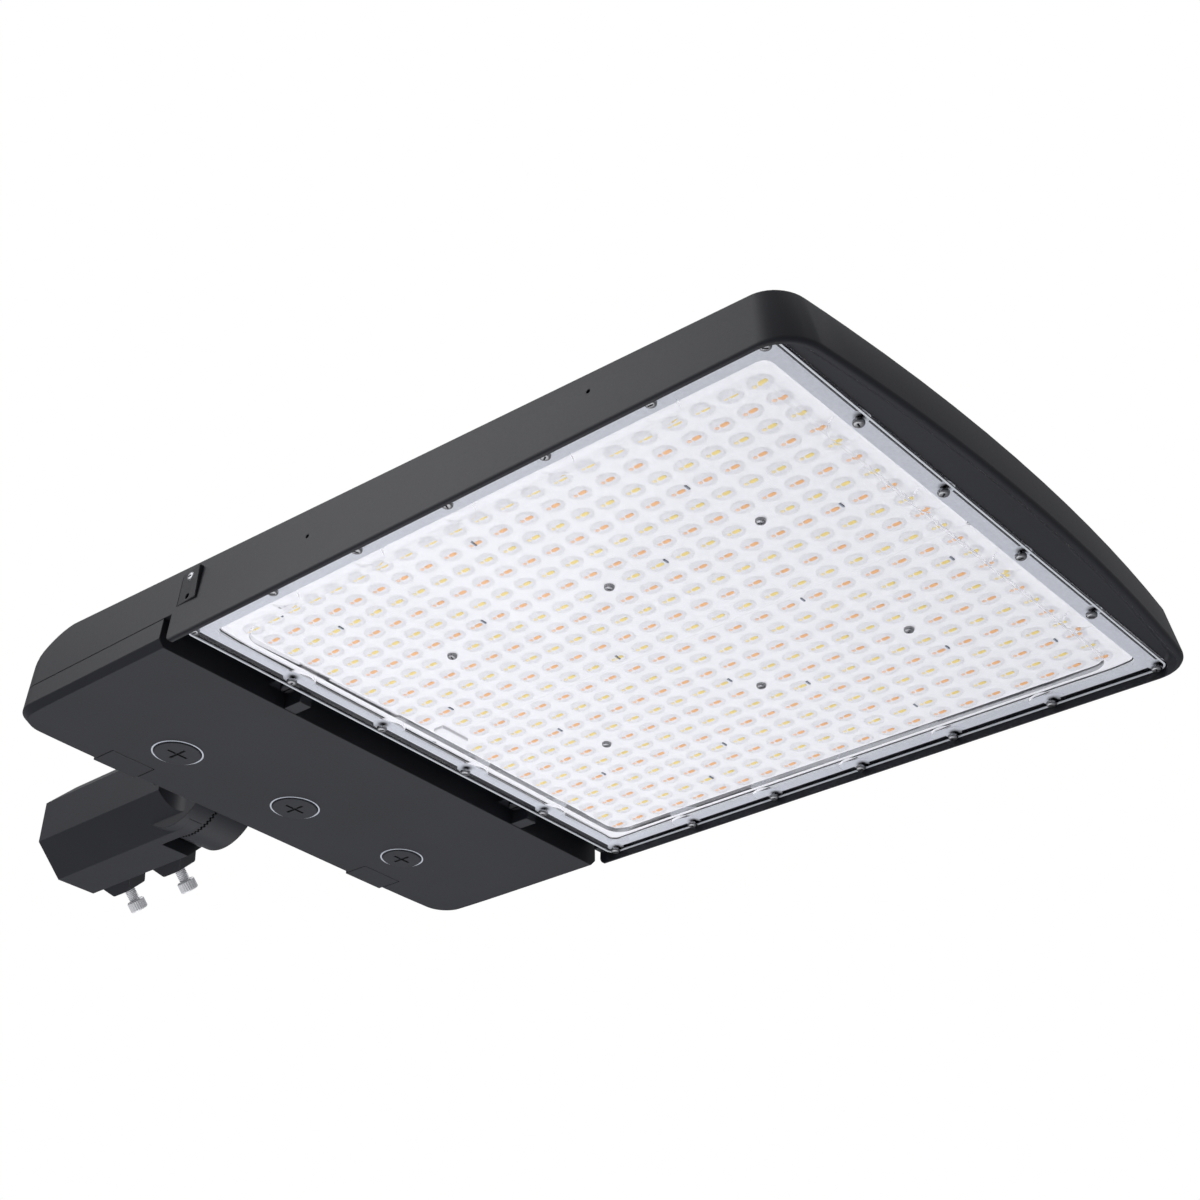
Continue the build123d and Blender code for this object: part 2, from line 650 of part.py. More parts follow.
def build_screw_row(places, seat):
    screw = cross_screw(SCREW_HEAD_RADIUS, SCREW_HEAD, SCREW_RADIUS, SCREW_TIP - seat)
    return Compound(children=[Pos(x, y, seat) * screw for x, y in places])


def build_gear_door():
    """Tray under the gear box: bevelled rim, cap bores, hinge notches and screw lugs."""
    beyond = 2 * HALF_WIDTH
    up = (0, 0, 1)
    rim = SEAM_Z - SEAM
    floor = DOOR_FACE + DOOR_SKIN
    door = leaning_block(0, 0, 0) & bar(BACK_X - 1, DOOR_FRONT, -beyond, beyond, DOOR_FACE, rim)
    bevelled = door.faces().sort_by(Axis.Z)[0].edges().filter_by(lambda e: e.center().X < DOOR_FRONT - 1)
    door = chamfer(bevelled, DOOR_BEVEL)
    room = leaning_block(DOOR_SKIN, DOOR_SKIN, DOOR_SKIN)
    room = room & bar(BACK_X, DOOR_FRONT - DOOR_SKIN, -beyond, beyond, floor, rim + 1)
    back_relief = bar(BACK_X - 1, HINGE_X + 3, -beyond, beyond, HINGE_Z + 3, rim + 1)
    door = door - room - back_relief
    rib_top = SEAM_Z - GASKET_THICK - GAP
    door = door + (seal_frame(0, floor - 0.5, rib_top) - seal_frame(SEAL_RIB, floor - 1, rib_top + 1))
    for y, radius in CAPS:
        door = door + rod((CAP_X, y, DOOR_FACE + 0.5), up, radius + 4, CAP_STEM_TOP - DOOR_FACE - 0.5)
    ears = []
    notches = []
    for y in (-HINGE_Y, HINGE_Y):
        notch = rod((HINGE_X, y - NOTCH_HALF, HINGE_Z), (0, 1, 0), NOTCH_REACH, 2 * NOTCH_HALF)
        notches.append(notch)
        for y0 in (y - NOTCH_HALF - EAR, y + NOTCH_HALF):
            ears.append(bar(BACK_X + 1, HINGE_X + 7, y0, y0 + EAR, floor - 0.5, HINGE_Z + 3))
    door = door + ears + door_lugs() - notches
    cuts = []
    for y, radius in CAPS:
        cuts.append(rod((CAP_X, y, DOOR_FACE - 1), up, radius + GAP, CAP_DISC + GAP + 1))
        cuts.append(rod((CAP_X, y, DOOR_FACE - 1), up, radius - CAP_SHOULDER + RUN, 20))
    for y in (-HINGE_Y, HINGE_Y):
        cuts.append(rod((HINGE_X, y - 40, HINGE_Z), (0, 1, 0), HINGE_RADIUS + RUN, 80))
    for y in LUG_PLACES:
        cuts.append(rod((LUG_X, y, LUG_UNDER - 1), up, CAPTIVE_RADIUS + RUN, 12))
    return door - cuts


def door_lugs():
    """Tongues that carry the captive screws, each stiffened by a rib on its far side."""
    lugs = []
    for y in LUG_PLACES:
        tongue = bar(DOOR_FRONT - 1, LUG_X, y - LUG_RADIUS, y + LUG_RADIUS, LUG_UNDER, LUG_TOP)
        lugs.append(tongue + rod((LUG_X, y, LUG_UNDER), (0, 0, 1), LUG_RADIUS, LUG_TOP - LUG_UNDER))
        rib_y = y + LUG_RADIUS - 1
        lugs.append(bar(DOOR_FRONT - 1, LUG_X + 5, rib_y, rib_y + LUG_RIB, DOOR_FACE + 0.4, LUG_TOP))
    return lugs


def build_cap(y, radius):
    """Screw cap set flush in the door, with a crossed coin slot."""
    disc = rod((CAP_X, y, DOOR_FACE), (0, 0, 1), radius, CAP_DISC)
    disc = chamfer(disc.edges().sort_by(Axis.Z)[0], 0.5)
    stem_foot = DOOR_FACE + CAP_DISC
    stem = rod((CAP_X, y, stem_foot), (0, 0, 1), radius - CAP_SHOULDER, CAP_STEM_TOP - stem_foot)
    slot = Pos(CAP_X, y, DOOR_FACE) * Box(radius, CAP_SLOT, 2 * CAP_SLOT_DEPTH)
    turned = Pos(CAP_X, y, DOOR_FACE) * Box(CAP_SLOT, radius, 2 * CAP_SLOT_DEPTH)
    return disc + stem - slot - turned


def build_captive_screw(y):
    """Captive door screw with a slotted cylindrical head."""
    head = rod((LUG_X, y, LUG_UNDER - CAPTIVE_HEAD - GAP), (0, 0, 1), CAPTIVE_HEAD_RADIUS, CAPTIVE_HEAD)
    head = chamfer(head.edges().sort_by(Axis.Z)[0], 0.8)
    shank_foot = LUG_UNDER - GAP
    shank = rod((LUG_X, y, shank_foot), (0, 0, 1), CAPTIVE_RADIUS, SEAM_Z + CAPTIVE_GRIP - shank_foot)
    slot = Pos(LUG_X, y, LUG_UNDER - CAPTIVE_HEAD - GAP) * Box(20, 1.2, 2.4)
    return head + shank - slot


def build_hinge_pin(y):
    length = 2 * (NOTCH_HALF + EAR)
    return rod((HINGE_X, y - length / 2, HINGE_Z), (0, 1, 0), HINGE_RADIUS, length)


def build_gear_gasket():
    """Soft ring under the shelf of the gear box, facing the seal rib of the door."""
    z0 = SEAM_Z - GASKET_THICK
    return seal_frame(-1, z0, SEAM_Z) - seal_frame(GASKET_WIDE - 1, z0 - 1, SEAM_Z + 1)


def build_clamp_screw(x):
    """Socket-head screw that grips the tenon, lying along the lower far chamfer."""
    along = Plane((x, 0, 0), x_dir=(1, 0, 0), z_dir=DIAGONAL)
    tip = BORE_RADIUS + 0.8
    seat = BOSS_REACH + CLAMP_EXPOSED
    shank = Pos(0, 0, tip) * extrude(Circle(CLAMP_RADIUS), seat - tip)
    head = Pos(0, 0, seat) * extrude(Circle(CLAMP_HEAD_RADIUS), CLAMP_HEAD)
    head = chamfer(head.edges().sort_by(Axis.Z)[-1], 0.8)
    socket = Pos(0, 0, seat + CLAMP_HEAD - 4) * extrude(RegularPolygon(3, 6, major_radius=False), 5)
    return along * (shank + head - socket)


def build_pivot_bolt():
    head = hexagon_rod((KNUCKLE_X, PIVOT_HEAD_SEAT + GAP, 0), (0, 1, 0), HEX_ACROSS, 6.4)
    tip = PIVOT_NUT_SEAT - PIVOT_WASHER - PIVOT_NUT - 2
    return head + rod((KNUCKLE_X, tip, 0), (0, 1, 0), PIVOT_RADIUS, PIVOT_HEAD_SEAT + GAP - tip)


def build_pivot_washer():
    ring = rod((KNUCKLE_X, PIVOT_NUT_SEAT, 0), (0, -1, 0), 10, PIVOT_WASHER)
    return ring - rod((KNUCKLE_X, 0, 0), (0, -1, 0), PIVOT_RADIUS, 60)


def build_pivot_nut():
    nut = hexagon_rod((KNUCKLE_X, PIVOT_NUT_SEAT - PIVOT_WASHER, 0), (0, -1, 0), HEX_ACROSS, PIVOT_NUT)
    return nut - rod((KNUCKLE_X, 0, 0), (0, -1, 0), PIVOT_RADIUS, 60)


def build_arm_gasket():
    z = (PAD_TOP + SEAM_Z) / 2
    plane = Plane((BACK_X - ARM_GASKET, 0, z), x_dir=(0, 1, 0), z_dir=(1, 0, 0))
    sheet = extrude(plane * RectangleRounded(2 * PAD_HALF - 4, PAD_TOP - SEAM_Z - 6, 6), ARM_GASKET)
    holes = [rod((BACK_X - 5, WIRE_Y, WIRE_EXIT), (1, 0, 0), WIRE_RADIUS, 20)]
    for side in (-1, 1):
        for bolt_z in ARM_BOLT_Z:
            holes.append(rod((BACK_X - 5, side * ARM_BOLT_Y, bolt_z), (1, 0, 0), ARM_BOLT_RADIUS, 20))
    return sheet - holes


def build_arm_bolts():
    """Four bolts from inside the gear box into the flange of the arm."""
    inner = BACK_X + PAD_WALL
    bolts = []
    for side in (-1, 1):
        for z in ARM_BOLT_Z:
            y = side * ARM_BOLT_Y
            shank = rod((ARM_FLANGE_X + 1, y, z), (1, 0, 0), ARM_BOLT_RADIUS, inner - ARM_FLANGE_X - 1)
            bolts.append(shank + hexagon_rod((inner, y, z), (1, 0, 0), 10, 4))
    return Compound(children=bolts)


def build_wire_grommet():
    """Soft bush that lines the wire hole from the arm into the gear box."""
    start = BACK_X
    bush = rod((start, WIRE_Y, WIRE_EXIT), (1, 0, 0), WIRE_RADIUS, PAD_WALL + 2)
    collar = rod((start + PAD_WALL, WIRE_Y, WIRE_EXIT), (1, 0, 0), WIRE_RADIUS + 2.5, 2)
    return bush + collar - rod((start - 1, WIRE_Y, WIRE_EXIT), (1, 0, 0), WIRE_RADIUS - 1.8, 20)


def build_driver():
    """Power supply hung from two rails, with a tongue at each end."""
    y0, y1 = DRIVER_Y
    x0, x1 = DRIVER_X
    case = bar(x0, x1, y0, y1, DRIVER_TOP - DRIVER_HEIGHT, DRIVER_TOP - 1)
    case = fillet(case.edges().filter_by(Axis.Y), 2.5)
    tongues = bar(x0 + 8, x1 - 8, DRIVER_RAILS[0] - 6, DRIVER_RAILS[1] + 6, DRIVER_TOP - 1.6, DRIVER_TOP)
    under = DRIVER_TOP - 5
    holes = [peg((DRIVER_SCREW_X, y, under), (0, 0, 1), SCREW_RADIUS + 0.2, 8) for y in DRIVER_RAILS]
    return case + tongues - holes


def build_driver_screws():
    screw = cross_screw(SCREW_HEAD_RADIUS + 0.4, SCREW_HEAD, SCREW_RADIUS, 4.5)
    seat = DRIVER_TOP - 1.6
    return Compound(children=[Pos(DRIVER_SCREW_X, y, seat) * screw for y in DRIVER_RAILS])


def build_surge_protector():
    x0, x1 = SURGE_X
    y0, y1 = SURGE_Y
    roof = top_line(x1) - WALL
    block = bar(x0, x1, y0, y1, roof - SURGE_HEIGHT, roof + 3)
    block = fillet(block.edges().filter_by(Axis.Z), 3)
    return block - (bar(0, NOSE_X, -HALF_WIDTH, HALF_WIDTH, -60, 60) - side_profile(WALL))


def build_terminal_block():
    """Three-way terminal block standing under the roof beside the surge protector."""
    x0, x1 = TERMINAL_X
    y0, y1 = TERMINAL_Y
    roof = top_line(x1) - WALL
    block = bar(x0, x1, y0, y1, roof - 16, roof + 3)
    pitch = (x1 - x0) / 3
    for i in range(3):
        x = x0 + pitch * (i + 0.5)
        block = block - rod((x, y0 + 6, roof - 17), (0, 0, 1), 2.4, 6)
        block = block - bar(x - 2.5, x + 2.5, y0 - 1, y0 + 4, roof - 13, roof - 8)
    return block - (bar(0, NOSE_X, -HALF_WIDTH, HALF_WIDTH, -60, 60) - side_profile(WALL))


def build_breather():
    seat = top_line(BREATHER[0]) - 0.6
    plug = rod((*BREATHER, seat), (0, 0, 1), BREATHER_RADIUS, BREATHER_HEIGHT)
    plug = chamfer(plug.edges().sort_by(Axis.Z)[-1], 0.6)
    return plug + rod((*BREATHER, seat - 7), (0, 0, 1), BREATHER_STEM, 7.5)


def build_side_screw(side):
    """Pan-head screw in the wedge-shaped pad of a side wall."""
    x, z = SIDE_SCREW
    x0, x1 = SIDE_PAD_X
    depth = SIDE_PAD_DEPTH * (x - x0) / (x1 - x0)
    y = wall_y(SIDE_PAD_Z[1]) - depth + 0.4
    screw = cross_screw(SIDE_HEAD_RADIUS, SCREW_HEAD, SCREW_RADIUS, 8)
    return Pos(x, side * y, z) * Rot(side * 90, 0, 0) * screw


PIECES = {
    "slip_fitter": build_slip_fitter(),
    "knuckle_arm": build_knuckle_arm(),
    "pivot_bolt": build_pivot_bolt(),
    "pivot_washer": build_pivot_washer(),
    "pivot_nut": build_pivot_nut(),
    "clamp_screw_mouth": build_clamp_screw(CLAMP_X[0]),
    "clamp_screw_inner": build_clamp_screw(CLAMP_X[1]),
    "upper_housing": build_housing(),
    "arm_gasket": build_arm_gasket(),
    "arm_bolts": build_arm_bolts(),
    "wire_grommet": build_wire_grommet(),
    "lens_plate": build_lens_plate(),
    "lens_gasket": build_lens_gasket(),
    "led_board_near": build_led_board(-1),
    "led_board_far": build_led_board(1),
    "board_connector": build_board_connector(),
    "lens_screws_inner": build_screw_row(INNER, PANEL_FACE),
    "driver": build_driver(),
    "driver_screws": build_driver_screws(),
    "surge_protector": build_surge_protector(),
    "terminal_block": build_terminal_block(),
    "breather_plug": build_breather(),
    "side_screw_near": build_side_screw(-1),
    "side_screw_far": build_side_screw(1),
    "hinge_pin_near": build_hinge_pin(-HINGE_Y),
    "hinge_pin_far": build_hinge_pin(HINGE_Y),
    "gear_gasket": build_gear_gasket(),
    "gear_door": build_gear_door(),
    "captive_screw_near": build_captive_screw(LUG_PLACES[0]),
    "captive_screw_far": build_captive_screw(LUG_PLACES[1]),
}
for edge, places in PERIMETER.items():
    PIECES[f"lens_screws_{edge}"] = build_screw_row(places, FLANGE_FACE)
for name, (cap_y, cap_radius) in zip(("near", "middle", "far"), CAPS):
    PIECES[f"access_cap_{name}"] = build_cap(cap_y, cap_radius)
for name, piece in PIECES.items():
    export_step(piece, f"parts/{name}.step")
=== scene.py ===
"""Looks of an LED area light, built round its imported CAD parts.

Metres, in the frame of the part: x from the fitter's mouth to the nose, y across to the far side, z up.
The LEDs face down.
"""

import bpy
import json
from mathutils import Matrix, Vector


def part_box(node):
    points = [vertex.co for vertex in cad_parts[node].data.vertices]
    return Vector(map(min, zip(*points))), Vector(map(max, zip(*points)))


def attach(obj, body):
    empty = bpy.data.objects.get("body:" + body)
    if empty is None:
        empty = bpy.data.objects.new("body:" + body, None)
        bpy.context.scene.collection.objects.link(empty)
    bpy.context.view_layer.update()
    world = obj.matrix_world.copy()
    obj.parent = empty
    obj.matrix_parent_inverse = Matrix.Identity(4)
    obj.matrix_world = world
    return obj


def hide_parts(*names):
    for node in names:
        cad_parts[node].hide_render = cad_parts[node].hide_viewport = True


bl_info = {
    "name": "LED area light",
    "version": (1, 0, 0),
    "blender": (4, 5, 0),
    "location": "3D View > Sidebar > Area light",
    "description": "Dresses the castings, lens, LED boards and fasteners of an LED area light",
    "category": "Object",
}

import json
from math import cos, pi, radians, sqrt

import bmesh
import bpy
from mathutils import Matrix, Vector

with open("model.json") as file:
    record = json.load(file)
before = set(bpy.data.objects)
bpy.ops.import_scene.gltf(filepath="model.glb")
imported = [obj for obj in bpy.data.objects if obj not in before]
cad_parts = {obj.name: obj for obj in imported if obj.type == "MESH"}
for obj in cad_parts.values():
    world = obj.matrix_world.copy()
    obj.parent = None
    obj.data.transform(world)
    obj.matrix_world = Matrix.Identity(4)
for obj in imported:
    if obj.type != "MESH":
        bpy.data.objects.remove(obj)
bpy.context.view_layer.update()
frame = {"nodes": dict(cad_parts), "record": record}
NODES = frame["nodes"]
BODIES = frame["record"]["behaviour"]["bodies"]
BODY_OF = {node: body for body, nodes in BODIES.items() for node in nodes}

LENS_LOW, LENS_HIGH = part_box("lens_plate")
BOARD_LOW, BOARD_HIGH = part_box("led_board_near")
HOUSING_LOW, HOUSING_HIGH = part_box("upper_housing")
SMOOTH_ANGLE = radians(32)
DOME_ANGLE = radians(60)
LEVEL_NORMAL = 0.9
MERGE_DISTANCE = 1e-6

# Heights and reaches of the solids that the pieces are set against
DOOR_FACE = -0.045
CAP_HALF_DISC = 0.0014
FLANGE_FACE = -0.041
LENS_SCREW_HEAD = 0.0019
POST_REACH = 0.0045

# Visible edges of the caps, the rings of painted highlight round them, and the seats of the inner screws
CAP_PROUD = 0.0013
HIGHLIGHT_RING_RISE = 0.0003
HIGHLIGHT_RING_GAP = 0.00045
HIGHLIGHT_RING_WIDTH = 0.001
INNER_SEAT = -0.0364
INNER_HEAD_SCALE = 0.92

# The LED grid counts columns from the nose and rows from the near side
LED_COLUMNS = 22
LED_ROWS = 22
SHORT_ROWS = (0, 1, 9, 10, 11, 12, 20, 21)
CLOSED_UP = (3, 17)
CLOSED_UP_COUNT = 12
INNER_SCREWS = [(column, row) for row in (6, 15) for column in (4, 10, 17)]
CONNECTOR_GAP = [(21, 10), (21, 11)]
RESISTORS = (
    (20, 0), (19, 2), (12, 1), (5, 3), (2, 7), (8, 6), (15, 5), (20, 9), (1, 12), (6, 11),
    (13, 10), (18, 13), (4, 17), (9, 16), (14, 18), (1, 19), (7, 20), (11, 14), (19, 17), (16, 20),
)

# Screw rows of the lens plate: node, number of screws and the axis along which they stand
SCREW_ROWS = (
    ("lens_screws_near", 7, 0),
    ("lens_screws_far", 7, 0),
    ("lens_screws_nose", 4, 1),
    ("lens_screws_gear", 4, 1),
)
CLAMP_AXIS = Vector((0, 1, -1)).normalized()

# Viewpoint worked out from the vanishing directions of the head's edges
CAMERA_PLACE = Vector((1.1905, -0.7484, -0.6185))
CAMERA_RIGHT = Vector((0.7528, 0.6573, 0.0345))
CAMERA_UP = Vector((0.3268, -0.4187, 0.8472))
CAMERA_LENS = 59.625
CAMERA_SENSOR = 36.0


def linear(code):
    """Linear RGBA of an sRGB hex colour."""
    channels = []
    for i in (0, 2, 4):
        value = int(code[i:i + 2], 16) / 255
        channels.append(value / 12.92 if value <= 0.04045 else ((value + 0.055) / 1.055) ** 2.4)
    return (*channels, 1.0)


def colour_property(name, description, code):
    return bpy.props.FloatVectorProperty(
        name=name, description=description, size=4, subtype="COLOR", min=0, max=1, default=linear(code)
    )


def length_property(name, description, default):
    return bpy.props.FloatProperty(
        name=name, description=description, default=default, min=0, unit="LENGTH", subtype="DISTANCE"
    )


class AreaLightColours(bpy.types.PropertyGroup):
    coat: colour_property("Coat", "Powder coat of the castings", "202126")
    coat_light: colour_property("Coat, lighter", "Lighter patches of the same coat", "26272d")
    cap: colour_property("Caps", "Coat of the screw caps", "25262b")
    steel: colour_property("Steel", "Stainless steel of the fasteners", "c4c5c8")
    cool_chip: colour_property("Cool LED", "Phosphor of the LEDs in the even rows", "ffe586")
    warm_chip: colour_property("Warm LED", "Phosphor of the LEDs in the odd rows", "ffc07e")
    board: colour_property("Board", "Solder mask of the LED boards", "f3f3f5")
    seal: colour_property("Lens seal", "Silicone ring under the lens plate", "f6f8fb")


class AreaLightLeds(bpy.types.PropertyGroup):
    first_x: length_property("First column", "Place of the column nearest the nose", 0.7491)
    pitch_x: length_property("Column pitch", "Distance between columns along the head", 0.01723)
    pitch_y: length_property("Row pitch", "Distance between rows across the head", 0.0152)
    dash_length: length_property("Dash length", "Long phosphor window of an LED", 0.0049)
    dash_width: length_property("Dash width", "Width of the long window", 0.0022)
    dot_size: length_property("Dot size", "Short phosphor window beside the long one", 0.0023)
    height: length_property("Height", "How far an LED stands off its board", 0.00015)
    dome_length: length_property("Dome length", "Length of the oval lens over an LED", 0.0142)
    dome_width: length_property("Dome width", "Width of the oval lens over an LED", 0.0118)
    dome_height: length_property("Dome height", "Rise of the oval lens over an LED", 0.0024)


class AreaLightFasteners(bpy.types.PropertyGroup):
    head_radius: length_property("Screw head", "Radius of a lens screw's pan head", 0.0032)
    head_height: length_property("Head height", "Height of a lens screw's pan head", 0.0021)
    shank_radius: length_property("Shank", "Radius of a lens screw's shank", 0.0015)
    thread_pitch: length_property("Thread pitch", "Pitch of the clamp screws' thread", 0.00125)
    thread_depth: length_property("Thread depth", "Depth of the clamp screws' thread", 0.0006)
    knurl_depth: length_property("Knurl depth", "Depth of the knurl on the clamp heads", 0.0003)
    socket_across: length_property("Socket", "Size of the hexagon socket across its flats", 0.006)


class AreaLightStage(bpy.types.PropertyGroup):
    floor_z: bpy.props.FloatProperty(
        name="Floor", description="Height of the studio floor", default=-1.9, unit="LENGTH"
    )
    under_power: bpy.props.FloatProperty(
        name="Under light", description="Softbox below the lens", default=14.2, unit="POWER"
    )
    side_power: bpy.props.FloatProperty(
        name="Side light", description="Softbox beside the near wall", default=16.5, unit="POWER"
    )
    top_power: bpy.props.FloatProperty(
        name="Top light", description="Softbox above the fins", default=24.0, unit="POWER"
    )
    sky: bpy.props.FloatProperty(
        name="Sky", description="Strength of the soft light from all round", default=0.25, min=0
    )
    shown_in_gloss: bpy.props.FloatProperty(
        name="Backdrop in gloss", description="How much of the white backdrop shows in gloss",
        default=0.15, min=0, max=1, subtype="FACTOR",
    )


# Materials


def add_node(tree, kind, settings=None, links=None):
    """Adds a node, sets its values and properties by name, and links sockets into it."""
    node = tree.nodes.new(kind)
    for name, value in (settings or {}).items():
        if name in node.inputs:
            node.inputs[name].default_value = value
        else:
            setattr(node, name, value)
    for name, socket in (links or {}).items():
        tree.links.new(socket, node.inputs[name])
    return node


def new_material(name, settings):
    material = bpy.data.materials.new(name)
    material.use_nodes = True
    tree = material.node_tree
    tree.nodes.clear()
    shader = add_node(tree, "ShaderNodeBsdfPrincipled", settings)
    add_node(tree, "ShaderNodeOutputMaterial", None, {"Surface": shader.outputs["BSDF"]})
    return material, tree, shader


def powder_coat(name, dark, light, roughness):
    """Polyester powder baked on die-cast aluminium: satin, with fine orange peel and softened edges."""
    peel_grain = 0.0011
    drift_size = 0.12
    edge_radius = 0.0009
    material, tree, shader = new_material(name, {"Specular IOR Level": 0.32})
    place = add_node(tree, "ShaderNodeTexCoord").outputs["Object"]
    drift = add_node(
        tree, "ShaderNodeTexNoise", {"Scale": 1 / drift_size, "Detail": 3.0}, {"Vector": place}
    )
    tone = add_node(tree, "ShaderNodeValToRGB", None, {"Fac": drift.outputs["Fac"]})
    tone.color_ramp.elements[0].position = 0.35
    tone.color_ramp.elements[0].color = dark
    tone.color_ramp.elements[1].position = 0.68
    tone.color_ramp.elements[1].color = light
    peel = add_node(
        tree, "ShaderNodeTexNoise", {"Scale": 1 / peel_grain, "Detail": 2.0}, {"Vector": place}
    )
    sheen = add_node(
        tree, "ShaderNodeMapRange", {"To Min": roughness - 0.05, "To Max": roughness + 0.07},
        {"Value": peel.outputs["Fac"]},
    )
    edge = add_node(tree, "ShaderNodeBevel", {"samples": 4, "Radius": edge_radius})
    bump = add_node(
        tree, "ShaderNodeBump", {"Strength": 0.25, "Distance": 0.00006},
        {"Height": peel.outputs["Fac"], "Normal": edge.outputs["Normal"]},
    )
    tree.links.new(tone.outputs["Color"], shader.inputs["Base Color"])
    tree.links.new(sheen.outputs["Result"], shader.inputs["Roughness"])
    tree.links.new(bump.outputs["Normal"], shader.inputs["Normal"])
    return material


def turned_metal(name, colour, roughness, metallic=1.0):
    """Turned steel or aluminium: bright, with fine lathe marks and a few dull spots.

    A lower metallic value lets the pale base colour show as painted reflection, paler than this stage
    would mirror.
    """
    mark_width = 0.00035
    spot_size = 0.004
    material, tree, shader = new_material(name, {"Metallic": metallic, "Base Color": colour})
    place = add_node(tree, "ShaderNodeTexCoord").outputs["Object"]
    spots = add_node(
        tree, "ShaderNodeTexNoise", {"Scale": 1 / spot_size, "Detail": 4.0}, {"Vector": place}
    )
    dull = add_node(
        tree, "ShaderNodeMapRange", {"To Min": roughness - 0.08, "To Max": roughness + 0.14},
        {"Value": spots.outputs["Fac"]},
    )
    marks = add_node(
        tree, "ShaderNodeTexNoise", {"Scale": 1 / mark_width, "Detail": 1.0}, {"Vector": place}
    )
    bump = add_node(
        tree, "ShaderNodeBump", {"Strength": 0.12, "Distance": 0.00003}, {"Height": marks.outputs["Fac"]}
    )
    tree.links.new(dull.outputs["Result"], shader.inputs["Roughness"])
    tree.links.new(bump.outputs["Normal"], shader.inputs["Normal"])
    return material


def clear_acrylic(name, tint, roughness, bending):
    """Moulded clear acrylic or silicone: glossy, with long mould ripples. It lets lamps through.

    The skin is thin, so it bends less light than a block would.
    """
    ripple = 0.03
    material, tree, shader = new_material(
        name,
        {"Base Color": tint, "Roughness": roughness, "IOR": bending, "Transmission Weight": 1.0},
    )
    place = add_node(tree, "ShaderNodeTexCoord").outputs["Object"]
    waves = add_node(
        tree, "ShaderNodeTexNoise", {"Scale": 1 / ripple, "Detail": 1.0}, {"Vector": place}
    )
    bump = add_node(
        tree, "ShaderNodeBump", {"Strength": 0.04, "Distance": 0.0004}, {"Height": waves.outputs["Fac"]}
    )
    tree.links.new(bump.outputs["Normal"], shader.inputs["Normal"])
    path = add_node(tree, "ShaderNodeLightPath")
    passed = add_node(tree, "ShaderNodeBsdfTransparent", {"Color": tint})
    mix = add_node(tree, "ShaderNodeMixShader", None, {"Fac": path.outputs["Is Shadow Ray"]})
    tree.links.new(shader.outputs["BSDF"], mix.inputs[1])
    tree.links.new(passed.outputs["BSDF"], mix.inputs[2])
    output = next(n for n in tree.nodes if n.type == "OUTPUT_MATERIAL")
    tree.links.new(mix.outputs["Shader"], output.inputs["Surface"])
    return material


def grained(name, dark, light, grain, roughness, settings=None):
    """Plastic, rubber, ceramic, paper or sheet metal: an even tone with a fine grain and relief."""
    material, tree, shader = new_material(name, settings)
    place = add_node(tree, "ShaderNodeTexCoord").outputs["Object"]
    speckle = add_node(
        tree, "ShaderNodeTexNoise", {"Scale": 1 / grain, "Detail": 3.0}, {"Vector": place}
    )
    tone = add_node(tree, "ShaderNodeValToRGB", None, {"Fac": speckle.outputs["Fac"]})
    tone.color_ramp.elements[0].position = 0.3
    tone.color_ramp.elements[0].color = dark
    tone.color_ramp.elements[1].position = 0.7
    tone.color_ramp.elements[1].color = light
    sheen = add_node(
        tree, "ShaderNodeMapRange", {"To Min": roughness - 0.06, "To Max": roughness + 0.06},
        {"Value": speckle.outputs["Fac"]},
    )
    bump = add_node(
        tree, "ShaderNodeBump", {"Strength": 0.15, "Distance": grain * 0.1},
        {"Height": speckle.outputs["Fac"]},
    )
    tree.links.new(tone.outputs["Color"], shader.inputs["Base Color"])
    tree.links.new(sheen.outputs["Result"], shader.inputs["Roughness"])
    tree.links.new(bump.outputs["Normal"], shader.inputs["Normal"])
    return material


def shade(colour, factor):
    """A colour made lighter or darker: the second tone of a pattern, and the painted shade of the lens
    and side screws.
    """
    return (*(min(1.0, channel * factor) for channel in colour[:3]), 1.0)


# Modelling


def activate(piece):
    bpy.ops.object.select_all(action="DESELECT")
    piece.select_set(True)
    bpy.context.view_layer.objects.active = piece


def start_piece(name, primitive, **sizes):
    """Adds a primitive as a named piece and enters edit mode with all of it selected."""
    bpy.ops.object.select_all(action="DESELECT")
    primitive(**sizes)
    piece = bpy.context.view_layer.objects.active
    piece.name = name
    piece.data.name = name
    bpy.ops.object.mode_set(mode="EDIT")
    bpy.ops.mesh.select_mode(type="VERT")
    bpy.ops.mesh.select_all(action="SELECT")
    return piece


def faces_down(face):
    return face.normal.z < -LEVEL_NORMAL


def faces_up(face):
    return face.normal.z > LEVEL_NORMAL


def pick_verts(piece, wanted):
    """Selects the vertices that pass a test, in edit mode."""
    bpy.ops.mesh.select_mode(type="VERT")
    bpy.ops.mesh.select_all(action="DESELECT")
    mesh = bmesh.from_edit_mesh(piece.data)
    for vert in mesh.verts:
        vert.select_set(wanted(vert))
    mesh.select_flush_mode()
    bmesh.update_edit_mesh(piece.data)


def pick_faces(piece, wanted):
    """Selects the faces that pass a test, in edit mode."""
    bpy.ops.mesh.select_mode(type="FACE")
    bpy.ops.mesh.select_all(action="DESELECT")
    mesh = bmesh.from_edit_mesh(piece.data)
    for face in mesh.faces:
        face.select_set(wanted(face))
    bmesh.update_edit_mesh(piece.data)


def pick_edges(piece, wanted):
    """Selects the edges that pass a test, in edit mode."""
    bpy.ops.mesh.select_mode(type="EDGE")
    bpy.ops.mesh.select_all(action="DESELECT")
    mesh = bmesh.from_edit_mesh(piece.data)
    for edge in mesh.edges:
        edge.select_set(wanted(edge))
    bmesh.update_edit_mesh(piece.data)


def extrude_by(offset):
    bpy.ops.mesh.extrude_region_move(TRANSFORM_OT_translate={"value": offset})


